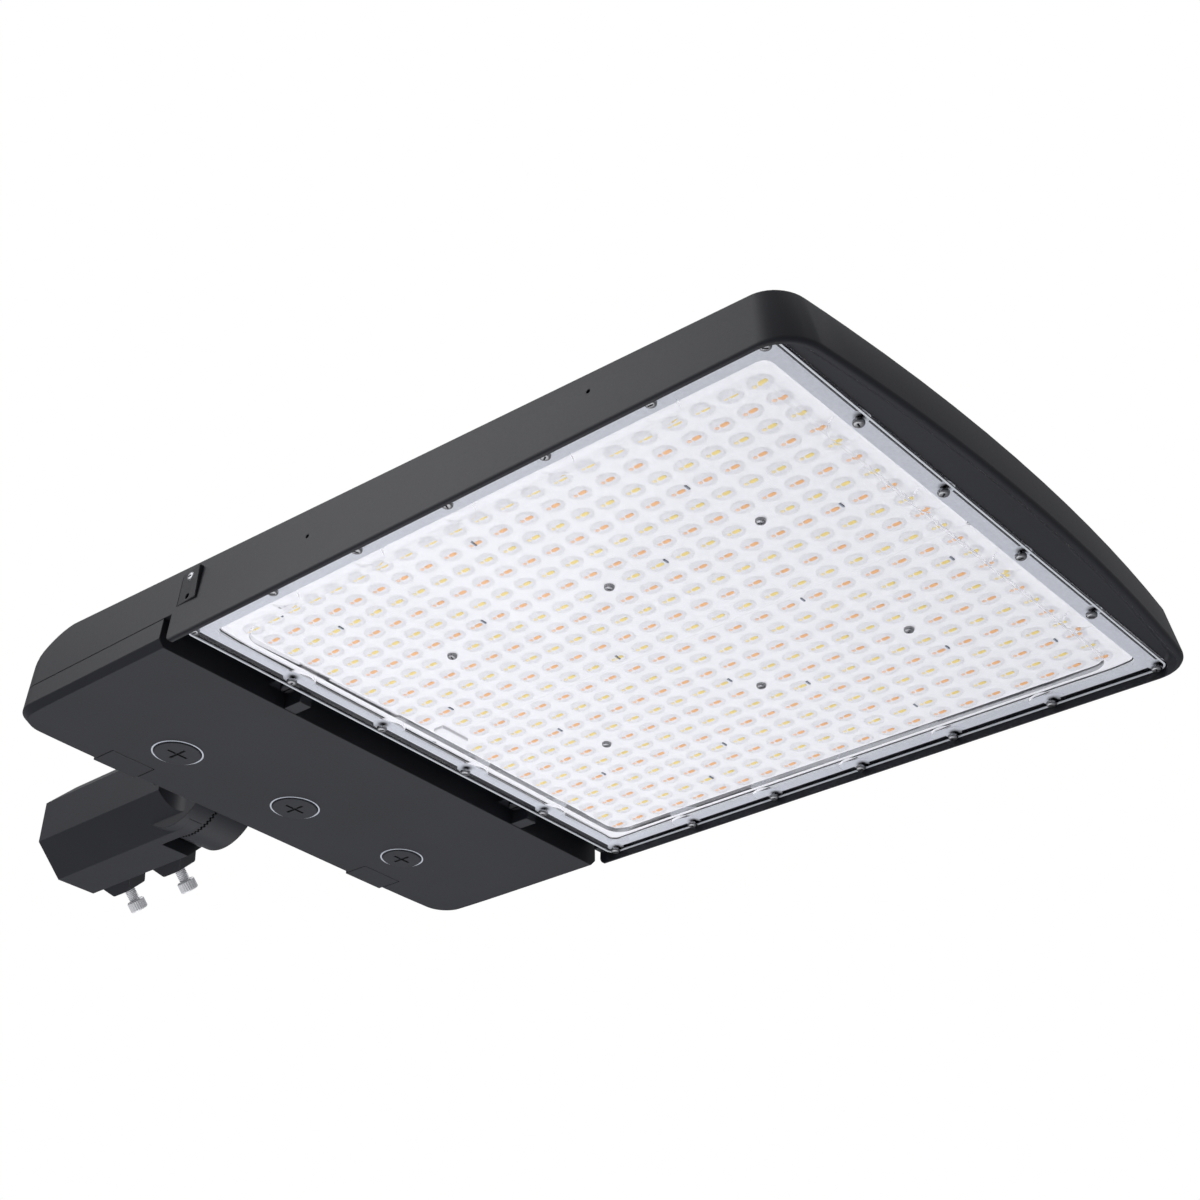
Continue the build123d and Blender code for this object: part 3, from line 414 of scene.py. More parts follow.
def finish_piece(piece, angle=SMOOTH_ANGLE):
    """Leaves edit mode with faces outwards, applies the placing and shades smooth."""
    bpy.ops.mesh.select_all(action="SELECT")
    bpy.ops.mesh.remove_doubles(threshold=MERGE_DISTANCE)
    bpy.ops.mesh.normals_make_consistent(inside=False)
    bpy.ops.object.mode_set(mode="OBJECT")
    activate(piece)
    bpy.ops.object.transform_apply(location=True, rotation=True, scale=True)
    bpy.ops.object.shade_smooth_by_angle(angle=angle)
    return piece


def tube_piece(name, sides, outer, inner, place, rise):
    """Closed ring between two radii. It hangs from its place where the rise is negative."""
    tube = start_piece(
        name, bpy.ops.mesh.primitive_circle_add, vertices=sides, radius=outer, location=place
    )
    extrude_by((0, 0, rise))
    bpy.ops.mesh.extrude_region_move()
    bpy.ops.transform.resize(value=(inner / outer, inner / outer, 1))
    extrude_by((0, 0, -rise))
    pick_edges(tube, lambda edge: edge.is_boundary)
    bpy.ops.mesh.bridge_edge_loops()
    return finish_piece(tube)


def lens_frame(name, margin, face, width, thickness, corner=None):
    """Flat ring along the outline of the lens plate, drawn in by a margin."""
    size = LENS_HIGH - LENS_LOW
    middle = (LENS_HIGH + LENS_LOW) / 2
    place = (middle.x, middle.y, face)
    ring = start_piece(name, bpy.ops.mesh.primitive_plane_add, size=1, location=place)
    bpy.ops.transform.resize(value=(size.x - 2 * margin, size.y - 2 * margin, 1), center_override=place)
    if corner:
        bpy.ops.mesh.bevel(offset=corner, segments=6, affect="VERTICES")
        bpy.ops.mesh.select_all(action="SELECT")
    bpy.ops.mesh.inset(thickness=width)
    bpy.ops.mesh.delete(type="FACE")
    bpy.ops.mesh.select_all(action="SELECT")
    extrude_by((0, 0, thickness))
    return finish_piece(ring)


def copies(master, name, places):
    """One piece made of copies of a master set at places, each a matrix. The master is removed."""
    made = []
    for place in places:
        copy = master.copy()
        copy.data = master.data.copy()
        bpy.context.scene.collection.objects.link(copy)
        copy.matrix_world = place
        made.append(copy)
    bpy.ops.object.select_all(action="DESELECT")
    for copy in made:
        copy.select_set(True)
    bpy.context.view_layer.objects.active = made[0]
    bpy.ops.object.join()
    piece = bpy.context.view_layer.objects.active
    bpy.ops.object.transform_apply(location=True, rotation=True, scale=True)
    bpy.data.objects.remove(master)
    piece.name = name
    piece.data.name = name
    return piece


def dress(piece, material, body, replaced=None):
    """Gives a finished piece its material and the body it rides on, and hides the node it stands for."""
    piece.data.materials.clear()
    piece.data.materials.append(material)
    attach(piece, body)
    if replaced:
        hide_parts(replaced)
    return piece


def smooth_copy(node, material):
    """Merged and smooth-shaded copy of a CAD node, standing for it."""
    piece = bpy.data.objects.new(f"{node}_surface", NODES[node].data.copy())
    bpy.context.scene.collection.objects.link(piece)
    activate(piece)
    bpy.ops.mesh.customdata_custom_splitnormals_clear()
    bpy.ops.object.mode_set(mode="EDIT")
    bpy.ops.mesh.select_all(action="SELECT")
    bpy.ops.mesh.remove_doubles(threshold=MERGE_DISTANCE)
    bpy.ops.object.mode_set(mode="OBJECT")
    bpy.ops.object.shade_smooth_by_angle(angle=SMOOTH_ANGLE)
    return dress(piece, material, BODY_OF[node], node)


def paint_node(node, material):
    """Gives a CAD node its material and keeps its mesh."""
    slots = NODES[node].data.materials
    slots.clear()
    slots.append(material)


def pan_head_screw(name, fasteners, scale, shank_length):
    """Pan-head screw with a crossed recess, its head below z 0 and its shank above."""
    radius = fasteners.head_radius * scale
    height = fasteners.head_height * scale
    rounding = height * 0.62
    slot = (radius * 1.3, radius * 0.36, height * 1.4)
    slot_floor = (0.55, 0.7, 1)
    screw = start_piece(
        name, bpy.ops.mesh.primitive_cylinder_add,
        vertices=24, radius=radius, depth=height, location=(0, 0, -height / 2),
    )
    pick_faces(screw, faces_down)
    bpy.ops.mesh.bevel(offset=rounding, segments=4, profile=0.5, affect="EDGES")
    pick_faces(screw, faces_up)
    bpy.ops.mesh.inset(thickness=radius - fasteners.shank_radius)
    extrude_by((0, 0, shank_length))
    finish_piece(screw)
    for turn in (0, pi / 2):
        cutter = start_piece(
            "recess", bpy.ops.mesh.primitive_cube_add,
            size=1, location=(0, 0, -height), rotation=(0, 0, turn),
        )
        bpy.ops.transform.resize(value=slot)
        pick_faces(cutter, faces_up)
        bpy.ops.transform.resize(value=slot_floor)
        finish_piece(cutter)
        cut_with(screw, cutter)
    activate(screw)
    bpy.ops.object.shade_smooth_by_angle(angle=SMOOTH_ANGLE)
    return screw


def cut_with(piece, cutter):
    """Cuts one piece out of another and removes the cutter."""
    activate(piece)
    cut = piece.modifiers.new("cut", "BOOLEAN")
    cut.operation = "DIFFERENCE"
    cut.solver = "EXACT"
    cut.object = cutter
    bpy.ops.object.modifier_apply(modifier=cut.name)
    bpy.data.objects.remove(cutter)


def row_places(node, count, axis):
    """Evenly spaced places along a screw row, worked out from the box of its CAD node."""
    low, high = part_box(node)
    centre = (low + high) / 2
    margin = (high[1 - axis] - low[1 - axis]) / 2
    places = []
    for i in range(count):
        place = Vector((centre.x, centre.y, 0))
        first = low[axis] + margin
        last = high[axis] - margin
        place[axis] = first + (last - first) * i / (count - 1)
        places.append(place)
    return places


def grid_place(leds, column, row):
    return Vector((leds.first_x - leds.pitch_x * column, leds.pitch_y * (row - (LED_ROWS - 1) / 2), 0))


def led_places(leds):
    """Centres of the LEDs by row. The short rows close up between two columns and hold one LED less."""
    rows = []
    for row in range(LED_ROWS):
        columns = list(range(LED_COLUMNS))
        if row in SHORT_ROWS:
            start, end = CLOSED_UP
            step = (end - start) / (CLOSED_UP_COUNT + 1)
            closer = [start + step * (i + 1) for i in range(CLOSED_UP_COUNT)]
            columns = columns[:start + 1] + closer + columns[end:]
        kept = [c for c in columns if (c, row) not in INNER_SCREWS and (c, row) not in CONNECTOR_GAP]
        rows.append([grid_place(leds, column, row) for column in kept])
    return rows


# Pieces


class AREALIGHT_OT_castings(bpy.types.Operator):
    """Smooth, powder-coated castings: fitter, arm, housing and gear door"""

    bl_idname = "arealight.castings"
    bl_label = "Castings"

    def execute(self, context):
        colours = context.scene.area_light_colours
        # A dark satin skin with broad, soft highlights
        coat = powder_coat("charcoal_powder_coat", colours.coat, colours.coat_light, 0.46)
        for node in ("slip_fitter", "knuckle_arm", "upper_housing", "gear_door"):
            smooth_copy(node, coat)
        return {"FINISHED"}


class AREALIGHT_OT_caps(bpy.types.Operator):
    """Screw caps of the gear door, each in a ring of painted highlight at the edge of its bore"""

    bl_idname = "arealight.caps"
    bl_label = "Screw caps"

    def execute(self, context):
        colours = context.scene.area_light_colours
        # A little lighter and glossier than the door, inside a thin bright line of painted highlight
        coat = powder_coat("cap_powder_coat", colours.cap, shade(colours.cap, 1.25), 0.4)
        highlight_metal = turned_metal("bare_machined_aluminium", linear("dfe4ee"), 0.3, 0.4)
        for place in ("near", "middle", "far"):
            node = f"access_cap_{place}"
            cap = smooth_copy(node, coat)
            self.raise_face(cap)
            self.highlight_ring(node, highlight_metal)
        return {"FINISHED"}

    def raise_face(self, cap):
        """Draws the face of a cap out of the face of the door."""
        bpy.ops.object.mode_set(mode="EDIT")
        pick_verts(cap, lambda vert: vert.co.z < DOOR_FACE + CAP_HALF_DISC)
        bpy.ops.transform.translate(value=(0, 0, -CAP_PROUD))
        bpy.ops.object.mode_set(mode="OBJECT")

    def highlight_ring(self, node, highlight_metal):
        """Ring of painted highlight: a bright half-metallic ring where the edge of the bore that a cap
        sits in catches the light.
        """
        low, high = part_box(node)
        centre = (low + high) / 2
        inner = (high.x - low.x) / 2 + HIGHLIGHT_RING_GAP
        place = (centre.x, centre.y, DOOR_FACE)
        ring = tube_piece(f"{node}_bezel", 64, inner + HIGHLIGHT_RING_WIDTH, inner, place, -HIGHLIGHT_RING_RISE)
        dress(ring, highlight_metal, BODY_OF["gear_door"])


class AREALIGHT_OT_boards(bpy.types.Operator):
    """White LED boards with their resistors, bridge cover, joint strip and liner"""

    bl_idname = "arealight.boards"
    bl_label = "LED boards"

    def execute(self, context):
        colours = context.scene.area_light_colours
        # Flat, clean white all over the field
        mask = grained("white_solder_mask", shade(colours.board, 0.95), colours.board, 0.004, 0.5)
        for node in ("led_board_near", "led_board_far"):
            paint_node(node, mask)
        self.resistors(context.scene.area_light_leds)
        self.cover(mask)
        self.joint_strip(mask)
        self.liner(mask)
        return {"FINISHED"}

    def resistors(self, leds):
        """Small ceramic blocks on the boards, each beside an LED."""
        size = (0.001, 0.0038, 0.0006)
        lip = 0.00015
        glaze = 0.0001
        beside = Vector((leds.pitch_x * 0.36, -leds.pitch_y * 0.05, BOARD_LOW.z))
        block = start_piece(
            "resistor", bpy.ops.mesh.primitive_cube_add,
            size=1, location=(0, 0, -size[2] / 2), scale=size,
        )
        pick_faces(block, faces_down)
        bpy.ops.mesh.inset(thickness=lip)
        extrude_by((0, 0, -glaze))
        finish_piece(block)
        places = [grid_place(leds, column, row) + beside for column, row in RESISTORS]
        piece = copies(block, "board_resistors", [Matrix.Translation(place) for place in places])
        # Small matt grey marks
        ceramic = grained("resistor_ceramic", linear("7d838d"), linear("969ca6"), 0.0008, 0.5)
        dress(piece, ceramic, BODY_OF["led_board_near"])

    def liner(self, mask):
        """White sheet on the deck between the boards and the lens seal."""
        margin = 0.0045
        thickness = 0.0008
        set_back = 0.0002
        clearance = 0.0003
        width = BOARD_LOW.x - LENS_LOW.x - margin - clearance
        liner = lens_frame("deck_liner", margin, BOARD_LOW.z + set_back, width, thickness)
        dress(liner, mask, BODY_OF["led_board_near"])

    def joint_strip(self, mask):
        """White strip that closes the joint between the two boards."""
        slack = 0.00002
        edge = 0.00006
        size = BOARD_HIGH - BOARD_LOW
        middle = (BOARD_LOW + BOARD_HIGH) / 2
        strip = start_piece(
            "board_joint_strip", bpy.ops.mesh.primitive_cube_add, size=1,
            location=(middle.x, 0, middle.z), scale=(size.x, -2 * BOARD_HIGH.y - slack, size.z),
        )
        finish_piece(strip)
        bpy.ops.object.mode_set(mode="EDIT")
        pick_faces(strip, faces_down)
        bpy.ops.mesh.bevel(offset=edge, segments=1, affect="EDGES")
        finish_piece(strip)
        dress(strip, mask, BODY_OF["led_board_near"])

    def cover(self, mask):
        """Cover of the connector that bridges the boards, rounded along its outer edges."""
        edge = 0.0005
        low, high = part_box("board_connector")
        cover = start_piece(
            "connector_cover", bpy.ops.mesh.primitive_cube_add,
            size=1, location=(low + high) / 2, scale=high - low,
        )
        pick_faces(cover, faces_down)
        bpy.ops.mesh.bevel(offset=edge, segments=3, affect="EDGES")
        finish_piece(cover)
        dress(cover, mask, BODY_OF["board_connector"], "board_connector")


class AREALIGHT_OT_led_chips(bpy.types.Operator):
    """LEDs of two colour temperatures in alternate rows, each with a long and a short phosphor window"""

    bl_idname = "arealight.led_chips"
    bl_label = "LED chips"

    GAP = 0.0008
    DOT_WIDTH_SHARE = 0.8
    DOT_PALER = 0.3

    def execute(self, context):
        leds = context.scene.area_light_leds
        colours = context.scene.area_light_colours
        rows = led_places(leds)
        dash_x = (leds.dot_size + self.GAP) / 2
        dot_x = -(leds.dash_length + self.GAP) / 2
        for name, start, colour in (("cool", 0, colours.cool_chip), ("warm", 1, colours.warm_chip)):
            places = [Matrix.Translation(place) for row in rows[start::2] for place in row]
            pale = tuple(channel + (1 - channel) * self.DOT_PALER for channel in colour[:3]) + (1.0,)
            for shape, x, length, width, tone in (
                ("dash", dash_x, leds.dash_length, leds.dash_width, colour),
                ("dot", dot_x, leds.dot_size, leds.dot_size * self.DOT_WIDTH_SHARE, pale),
            ):
                window = self.window(shape, x, length, width, leds.height)
                chips = copies(window, f"led_{shape}_{name}", places)
                # Opaque yellow or orange under a thin gloss
                phosphor = grained(
                    f"{name}_{shape}_phosphor_silicone", shade(tone, 0.95), tone, 0.0006, 0.4,
                    {"Coat Weight": 0.2},
                )
                dress(chips, phosphor, BODY_OF["led_board_near"])
        return {"FINISHED"}

    def window(self, shape, x, length, width, height):
        """One phosphor window with rounded corners, low on the board."""
        corner = width * 0.42
        edge = height * 0.35
        window = start_piece(
            shape, bpy.ops.mesh.primitive_cube_add, size=1,
            location=(x, 0, BOARD_LOW.z - height / 2), scale=(length, width, height),
        )
        finish_piece(window)
        bpy.ops.object.mode_set(mode="EDIT")
        pick_edges(window, lambda e: abs(e.verts[0].co.z - e.verts[1].co.z) > height / 2)
        bpy.ops.mesh.bevel(offset=corner, segments=2, affect="EDGES")
        pick_faces(window, faces_down)
        bpy.ops.mesh.bevel(offset=edge, segments=1, affect="EDGES")
        return finish_piece(window)


class AREALIGHT_OT_lens(bpy.types.Operator):
    """Clear lens plate with a pale strip of painted highlight along its edge, and an oval lens over
    every LED behind it
    """

    bl_idname = "arealight.lens"
    bl_label = "Lens"

    def execute(self, context):
        leds = context.scene.area_light_leds
        self.plate(leds)
        self.domes(leds)
        self.edge_highlight_strip()
        return {"FINISHED"}

    def plate(self, leds):
        """Copy of the plate without the clear posts, so that the inner screws show at the boards."""
        # Almost unseen but for a faint gloss
        acrylic = clear_acrylic("clear_moulded_acrylic", linear("fbfbfc"), 0.06, 1.1)
        plate = smooth_copy("lens_plate", acrylic)
        posts = [grid_place(leds, column, row).xy for column, row in INNER_SCREWS]

        def on_a_post(face):
            return any(all((v.co.xy - post).length < POST_REACH for v in face.verts) for post in posts)

        bpy.ops.object.mode_set(mode="EDIT")
        pick_faces(plate, on_a_post)
        bpy.ops.mesh.delete(type="FACE")
        bpy.ops.mesh.select_all(action="SELECT")
        bpy.ops.mesh.fill_holes(sides=0)
        bpy.ops.mesh.normals_make_consistent(inside=False)
        bpy.ops.object.mode_set(mode="OBJECT")

    def domes(self, leds):
        """Oval domes, each the top of a sphere drawn out to its length and width."""
        # Softer than the plate, with a blurred edge round each LED
        silicone = clear_acrylic("clear_dome_silicone", linear("fbfbfc"), 0.18, 1.19)
        sunk = 0.00008
        top_share = 0.42
        dome = start_piece(
            "dome", bpy.ops.mesh.primitive_uv_sphere_add, segments=16, ring_count=14, radius=1
        )
        bpy.ops.mesh.bisect(
            plane_co=(0, 0, top_share - 1), plane_no=(0, 0, 1),
            use_fill=True, clear_outer=True, threshold=1e-4,
        )
        bpy.ops.mesh.select_all(action="SELECT")
        bpy.ops.transform.translate(value=(0, 0, 1 - top_share))
        across = 2 * sqrt(2 * top_share - top_share ** 2)
        size = (leds.dome_length / across, leds.dome_width / across, leds.dome_height / top_share)
        bpy.ops.transform.resize(value=size, center_override=(0, 0, 0))
        finish_piece(dome, DOME_ANGLE)
        face = Vector((0, 0, BOARD_LOW.z + sunk))
        places = [Matrix.Translation(place + face) for row in led_places(leds) for place in row]
        domes = copies(dome, "led_domes", places)
        dress(domes, silicone, BODY_OF["led_board_near"])

    def edge_highlight_strip(self):
        """Painted highlight: a pale glossy strip along the outer edge of the lens plate, for the bright
        line that light gives at the plate's edge.
        """
        width = 0.0011
        rise = 0.0004
        corner = 0.006
        edge_highlight_strip = lens_frame("lens_rim", 0, FLANGE_FACE - rise, width, rise * 2, corner)
        # Painted highlight: a pale, glossy line between the plate and the housing
        edge_highlight_paint = grained(
            "moulded_edge_bead", linear("e3e8ef"), linear("f0f3f7"), 0.004, 0.3, {"Coat Weight": 0.4}
        )
        dress(edge_highlight_strip, edge_highlight_paint, BODY_OF["lens_plate"])


class AREALIGHT_OT_lens_screws(bpy.types.Operator):
    """Pan-head screws round the lens plate and in its field"""

    bl_idname = "arealight.lens_screws"
    bl_label = "Lens screws"

    # The recesses stop at uneven angles, as driven screws do
    SCREW_TURN = radians(37)
    ROW_TURN = radians(53)

    def execute(self, context):
        fasteners = context.scene.area_light_fasteners
        leds = context.scene.area_light_leds
        colours = context.scene.area_light_colours
        # Painted shade: steel darkened so that the heads read mid grey with bright rims
        steel = turned_metal("screw_stainless_steel", shade(colours.steel, 0.55), 0.26)
        rows = [(node, row_places(node, count, axis)) for node, count, axis in SCREW_ROWS]
        inner = [grid_place(leds, column, row) for column, row in INNER_SCREWS]
        rows.append(("lens_screws_inner", inner))
        for number, (node, places) in enumerate(rows):
            low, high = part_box(node)
            seat = low.z + LENS_SCREW_HEAD
            scale = 1.0
            if node == "lens_screws_inner":
                seat = INNER_SEAT
                scale = INNER_HEAD_SCALE
            screw = pan_head_screw("lens_screw", fasteners, scale, high.z - seat)
            turned = []
            for i, place in enumerate(places):
                turn = Matrix.Rotation(self.SCREW_TURN * i + self.ROW_TURN * number, 4, "Z")
                turned.append(Matrix.Translation(place + Vector((0, 0, seat))) @ turn)
            piece = copies(screw, f"{node}_heads", turned)
            dress(piece, steel, BODY_OF[node], node)
        self.sleeves(inner)
        return {"FINISHED"}

    def sleeves(self, places):
        """Thin white rings under the heads of the inner screws, flush with the face of the boards."""
        bore = 0.0017
        outer = 0.0048
        thickness = 0.00005
        foot = BOARD_LOW.z + thickness
        sleeve = tube_piece("sleeve", 32, outer, bore, (0, 0, foot), INNER_SEAT - foot)
        piece = copies(sleeve, "lens_screw_sleeves", [Matrix.Translation(place) for place in places])
        # As plain a white as the boards
        white = grained("white_spacer_nylon", linear("e9ecf0"), linear("f2f4f7"), 0.002, 0.45)
        dress(piece, white, BODY_OF["lens_plate"])


class AREALIGHT_OT_side_screws(bpy.types.Operator):
    """Wedge-shaped pad on each side wall, with a pan-head screw and a small hole in it"""

    bl_idname = "arealight.side_screws"
    bl_label = "Side screws"

    PAD_X = (0.350, 0.368)
    PAD_Z = (-0.0225, -0.0005)
    WALL_FOOT = 0.18888
    WALL_TOP = 0.18736
    HOLE = (0.3595, -0.019)
    HOLE_RADIUS = 0.0018
    HOLE_DEPTH = 0.006
    ROOT = 0.0035
    EDGE = 0.0005
    CLEARANCE = 0.0001

    def execute(self, context):
        fasteners = context.scene.area_light_fasteners
        colours = context.scene.area_light_colours
        # Painted shade: steel darkened to mid grey, as the lens screws are
        steel = turned_metal("side_stainless_steel", shade(colours.steel, 0.6), 0.26)
        reach = HOUSING_HIGH.y - self.CLEARANCE
        for name, side in (("near", -1), ("far", 1)):
            self.pad(f"side_pad_{name}", side, reach)
            node = f"side_screw_{name}"
            low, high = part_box(node)
            centre = (low + high) / 2
            head = max(high.x - low.x, high.z - low.z) / 2
            scale = head / fasteners.head_radius
            seat = side * (reach - fasteners.head_height * scale)
            length = abs(seat - (high.y if side < 0 else low.y))
            screw = pan_head_screw(f"{node}_head", fasteners, scale, length)
            turn = Matrix.Rotation(radians(90 * side), 4, "X")
            place = Matrix.Translation((centre.x, seat, centre.z)) @ turn
            piece = copies(screw, f"{node}_head", [place])
            dress(piece, steel, BODY_OF[node], node)
        return {"FINISHED"}

    def pad(self, name, side, reach):
        """Wedge flush with the wall at the gear door and proud of it towards the nose."""
        inner = self.WALL_TOP - self.ROOT
        wall = (inner + self.WALL_FOOT) / 2
        x0, x1 = self.PAD_X
        z0, z1 = self.PAD_Z
        middle = Vector(((x0 + x1) / 2, side * wall, (z0 + z1) / 2))
        pad = start_piece(
            name, bpy.ops.mesh.primitive_cube_add,
            size=1, location=middle, scale=(x1 - x0, self.WALL_FOOT - inner, z1 - z0),
        )
        finish_piece(pad)
        bpy.ops.object.mode_set(mode="EDIT")
        for above, ahead, shift in (
            (True, False, self.WALL_TOP - self.WALL_FOOT),
            (False, True, reach - self.WALL_FOOT),
            (True, True, reach - self.WALL_FOOT),
        ):
            def on_corner(vert):
                corner = (vert.co.z > middle.z) == above and (vert.co.x > middle.x) == ahead
                return corner and side * vert.co.y > wall

            pick_verts(pad, on_corner)
            bpy.ops.transform.translate(value=(0, side * shift, 0))
        pick_edges(pad, lambda edge: all(side * vert.co.y > wall for vert in edge.verts))
        bpy.ops.mesh.bevel(offset=self.EDGE, segments=2, affect="EDGES")
        finish_piece(pad)
        drill = start_piece(
            "drill", bpy.ops.mesh.primitive_cylinder_add,
            vertices=20, radius=self.HOLE_RADIUS, depth=self.HOLE_DEPTH,
            location=(self.HOLE[0], side * reach, self.HOLE[1]), rotation=(pi / 2, 0, 0),
        )
        finish_piece(drill)
        cut_with(pad, drill)
        bpy.ops.object.shade_smooth_by_angle(angle=SMOOTH_ANGLE)
        coat = bpy.data.materials["charcoal_powder_coat"]
        dress(pad, coat, BODY_OF["upper_housing"])


class AREALIGHT_OT_clamp_screws(bpy.types.Operator):
    """Socket-head clamp screws with knurled heads and cut threads"""

    bl_idname = "arealight.clamp_screws"
    bl_label = "Clamp screws"

    SIDES = 48
    SHANK_RADIUS = 0.004
    HEAD_RADIUS = 0.0065
    HEAD_HEIGHT = 0.008
    CHAMFER = 0.00081
    SOCKET_DEPTH = 0.0044

    def execute(self, context):
        fasteners = context.scene.area_light_fasteners
        # Painted reflection: steel made nearly white and only half a mirror, for the white studio it
        # mirrors
        steel = turned_metal("clamp_bright_zinc", linear("fafafc"), 0.3, 0.2)
        turn = CLAMP_AXIS.to_track_quat("Z", "X").to_matrix().to_4x4()
        for node in ("clamp_screw_mouth", "clamp_screw_inner"):
            along = [CLAMP_AXIS.dot(v.co) for v in NODES[node].data.vertices]
            low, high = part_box(node)
            x = (low.x + high.x) / 2
            screw = self.screw(fasteners, min(along), max(along))
            piece = copies(screw, f"{node}_knurled", [Matrix.Translation((x, 0, 0)) @ turn])
            dress(piece, steel, BODY_OF[node], node)
        return {"FINISHED"}

    def ring(self, rise, factor):
        """Carries the selected ring on by a rise and draws it wider or narrower."""
        extrude_by((0, 0, rise))
        bpy.ops.transform.resize(value=(factor, factor, 1))

    def screw(self, fasteners, tip, end):
        """Clamp screw drawn up ring by ring from its tip to the floor of its socket."""
        root = self.SHANK_RADIUS - fasteners.thread_depth
        screw = start_piece(
            "clamp", bpy.ops.mesh.primitive_circle_add,
            vertices=self.SIDES, radius=root, fill_type="NGON", location=(0, 0, tip),
        )
        seat = end - self.HEAD_HEIGHT
        turns = int((seat - tip) / fasteners.thread_pitch)
        for _ in range(turns):
            self.ring(fasteners.thread_pitch / 2, self.SHANK_RADIUS / root)
            self.ring(fasteners.thread_pitch / 2, root / self.SHANK_RADIUS)
        self.ring(seat - tip - turns * fasteners.thread_pitch, 1)
        flat = self.HEAD_RADIUS - self.CHAMFER
        self.ring(0, flat / root)
        self.ring(self.CHAMFER, self.HEAD_RADIUS / flat)
        self.ring(self.HEAD_HEIGHT - 2 * self.CHAMFER, 1)
        self.ring(self.CHAMFER, flat / self.HEAD_RADIUS)
        corner = fasteners.socket_across / 2 / cos(pi / 6)
        self.ring(0, corner / flat)
        self.hexagon(screw, fasteners.socket_across / 2)
        self.ring(-self.SOCKET_DEPTH, 1)
        self.knurl(screw, fasteners.knurl_depth)
        return finish_piece(screw)

    def hexagon(self, screw, apothem):
        """Draws the selected ring on to the flats of a hexagon."""
        mesh = bmesh.from_edit_mesh(screw.data)
        for vert in mesh.verts:
            if vert.select:
                angle = Vector((1, 0)).angle_signed(vert.co.xy)
                sector = (angle % (pi / 3)) - pi / 6
                vert.co.xy = vert.co.xy.normalized() * apothem / cos(sector)
        bmesh.update_edit_mesh(screw.data)

    def knurl(self, screw, depth):
        """Sinks every second edge of the head's side."""
        slack = 1e-5
        mesh = bmesh.from_edit_mesh(screw.data)
        for vert in mesh.verts:
            if vert.co.xy.length > self.HEAD_RADIUS - slack:
                turn = Vector((1, 0)).angle_signed(vert.co.xy) / (2 * pi) * self.SIDES
                if round(turn) % 2:
                    vert.co.xy *= 1 - depth / self.HEAD_RADIUS
        bmesh.update_edit_mesh(screw.data)


class AREALIGHT_OT_hardware(bpy.types.Operator):
    """Remaining fasteners, seals and the parts inside the gear box"""

    bl_idname = "arealight.hardware"
    bl_label = "Hardware and seals"

    def execute(self, context):
        colours = context.scene.area_light_colours
        # Bright bolts, near-black captive screws, matt rubber and nylon, a dull metal case
        steel = turned_metal("bolt_stainless_steel", shade(colours.steel, 0.9), 0.3)
        blackened = turned_metal("blackened_steel", linear("3a3a3d"), 0.34)
        pale = grained("pale_silicone_rubber", shade(colours.seal, 0.93), colours.seal, 0.002, 0.5)
        dark = grained("dark_silicone_rubber", linear("161617"), linear("1e1e20"), 0.0015, 0.62)
        white = grained("white_nylon", linear("dcdcd8"), linear("e6e6e2"), 0.002, 0.45)
        case = grained(
            "sheet_aluminium", linear("b9bbbe"), linear("c8cacd"), 0.003, 0.34, {"Metallic": 1.0}
        )
        black = grained("black_nylon", linear("101218"), linear("171a22"), 0.001, 0.4)
        finishes = {
            steel: (
                "hinge_pin_near", "hinge_pin_far", "pivot_bolt", "pivot_washer", "pivot_nut",
                "arm_bolts", "driver_screws",
            ),
            blackened: ("captive_screw_near", "captive_screw_far"),
            pale: ("lens_gasket",),
            dark: ("gear_gasket", "arm_gasket", "wire_grommet"),
            white: ("terminal_block",),
            case: ("driver",),
            black: ("surge_protector", "breather_plug"),
        }
        for material, nodes in finishes.items():
            for node in nodes:
                smooth_copy(node, material)
        return {"FINISHED"}


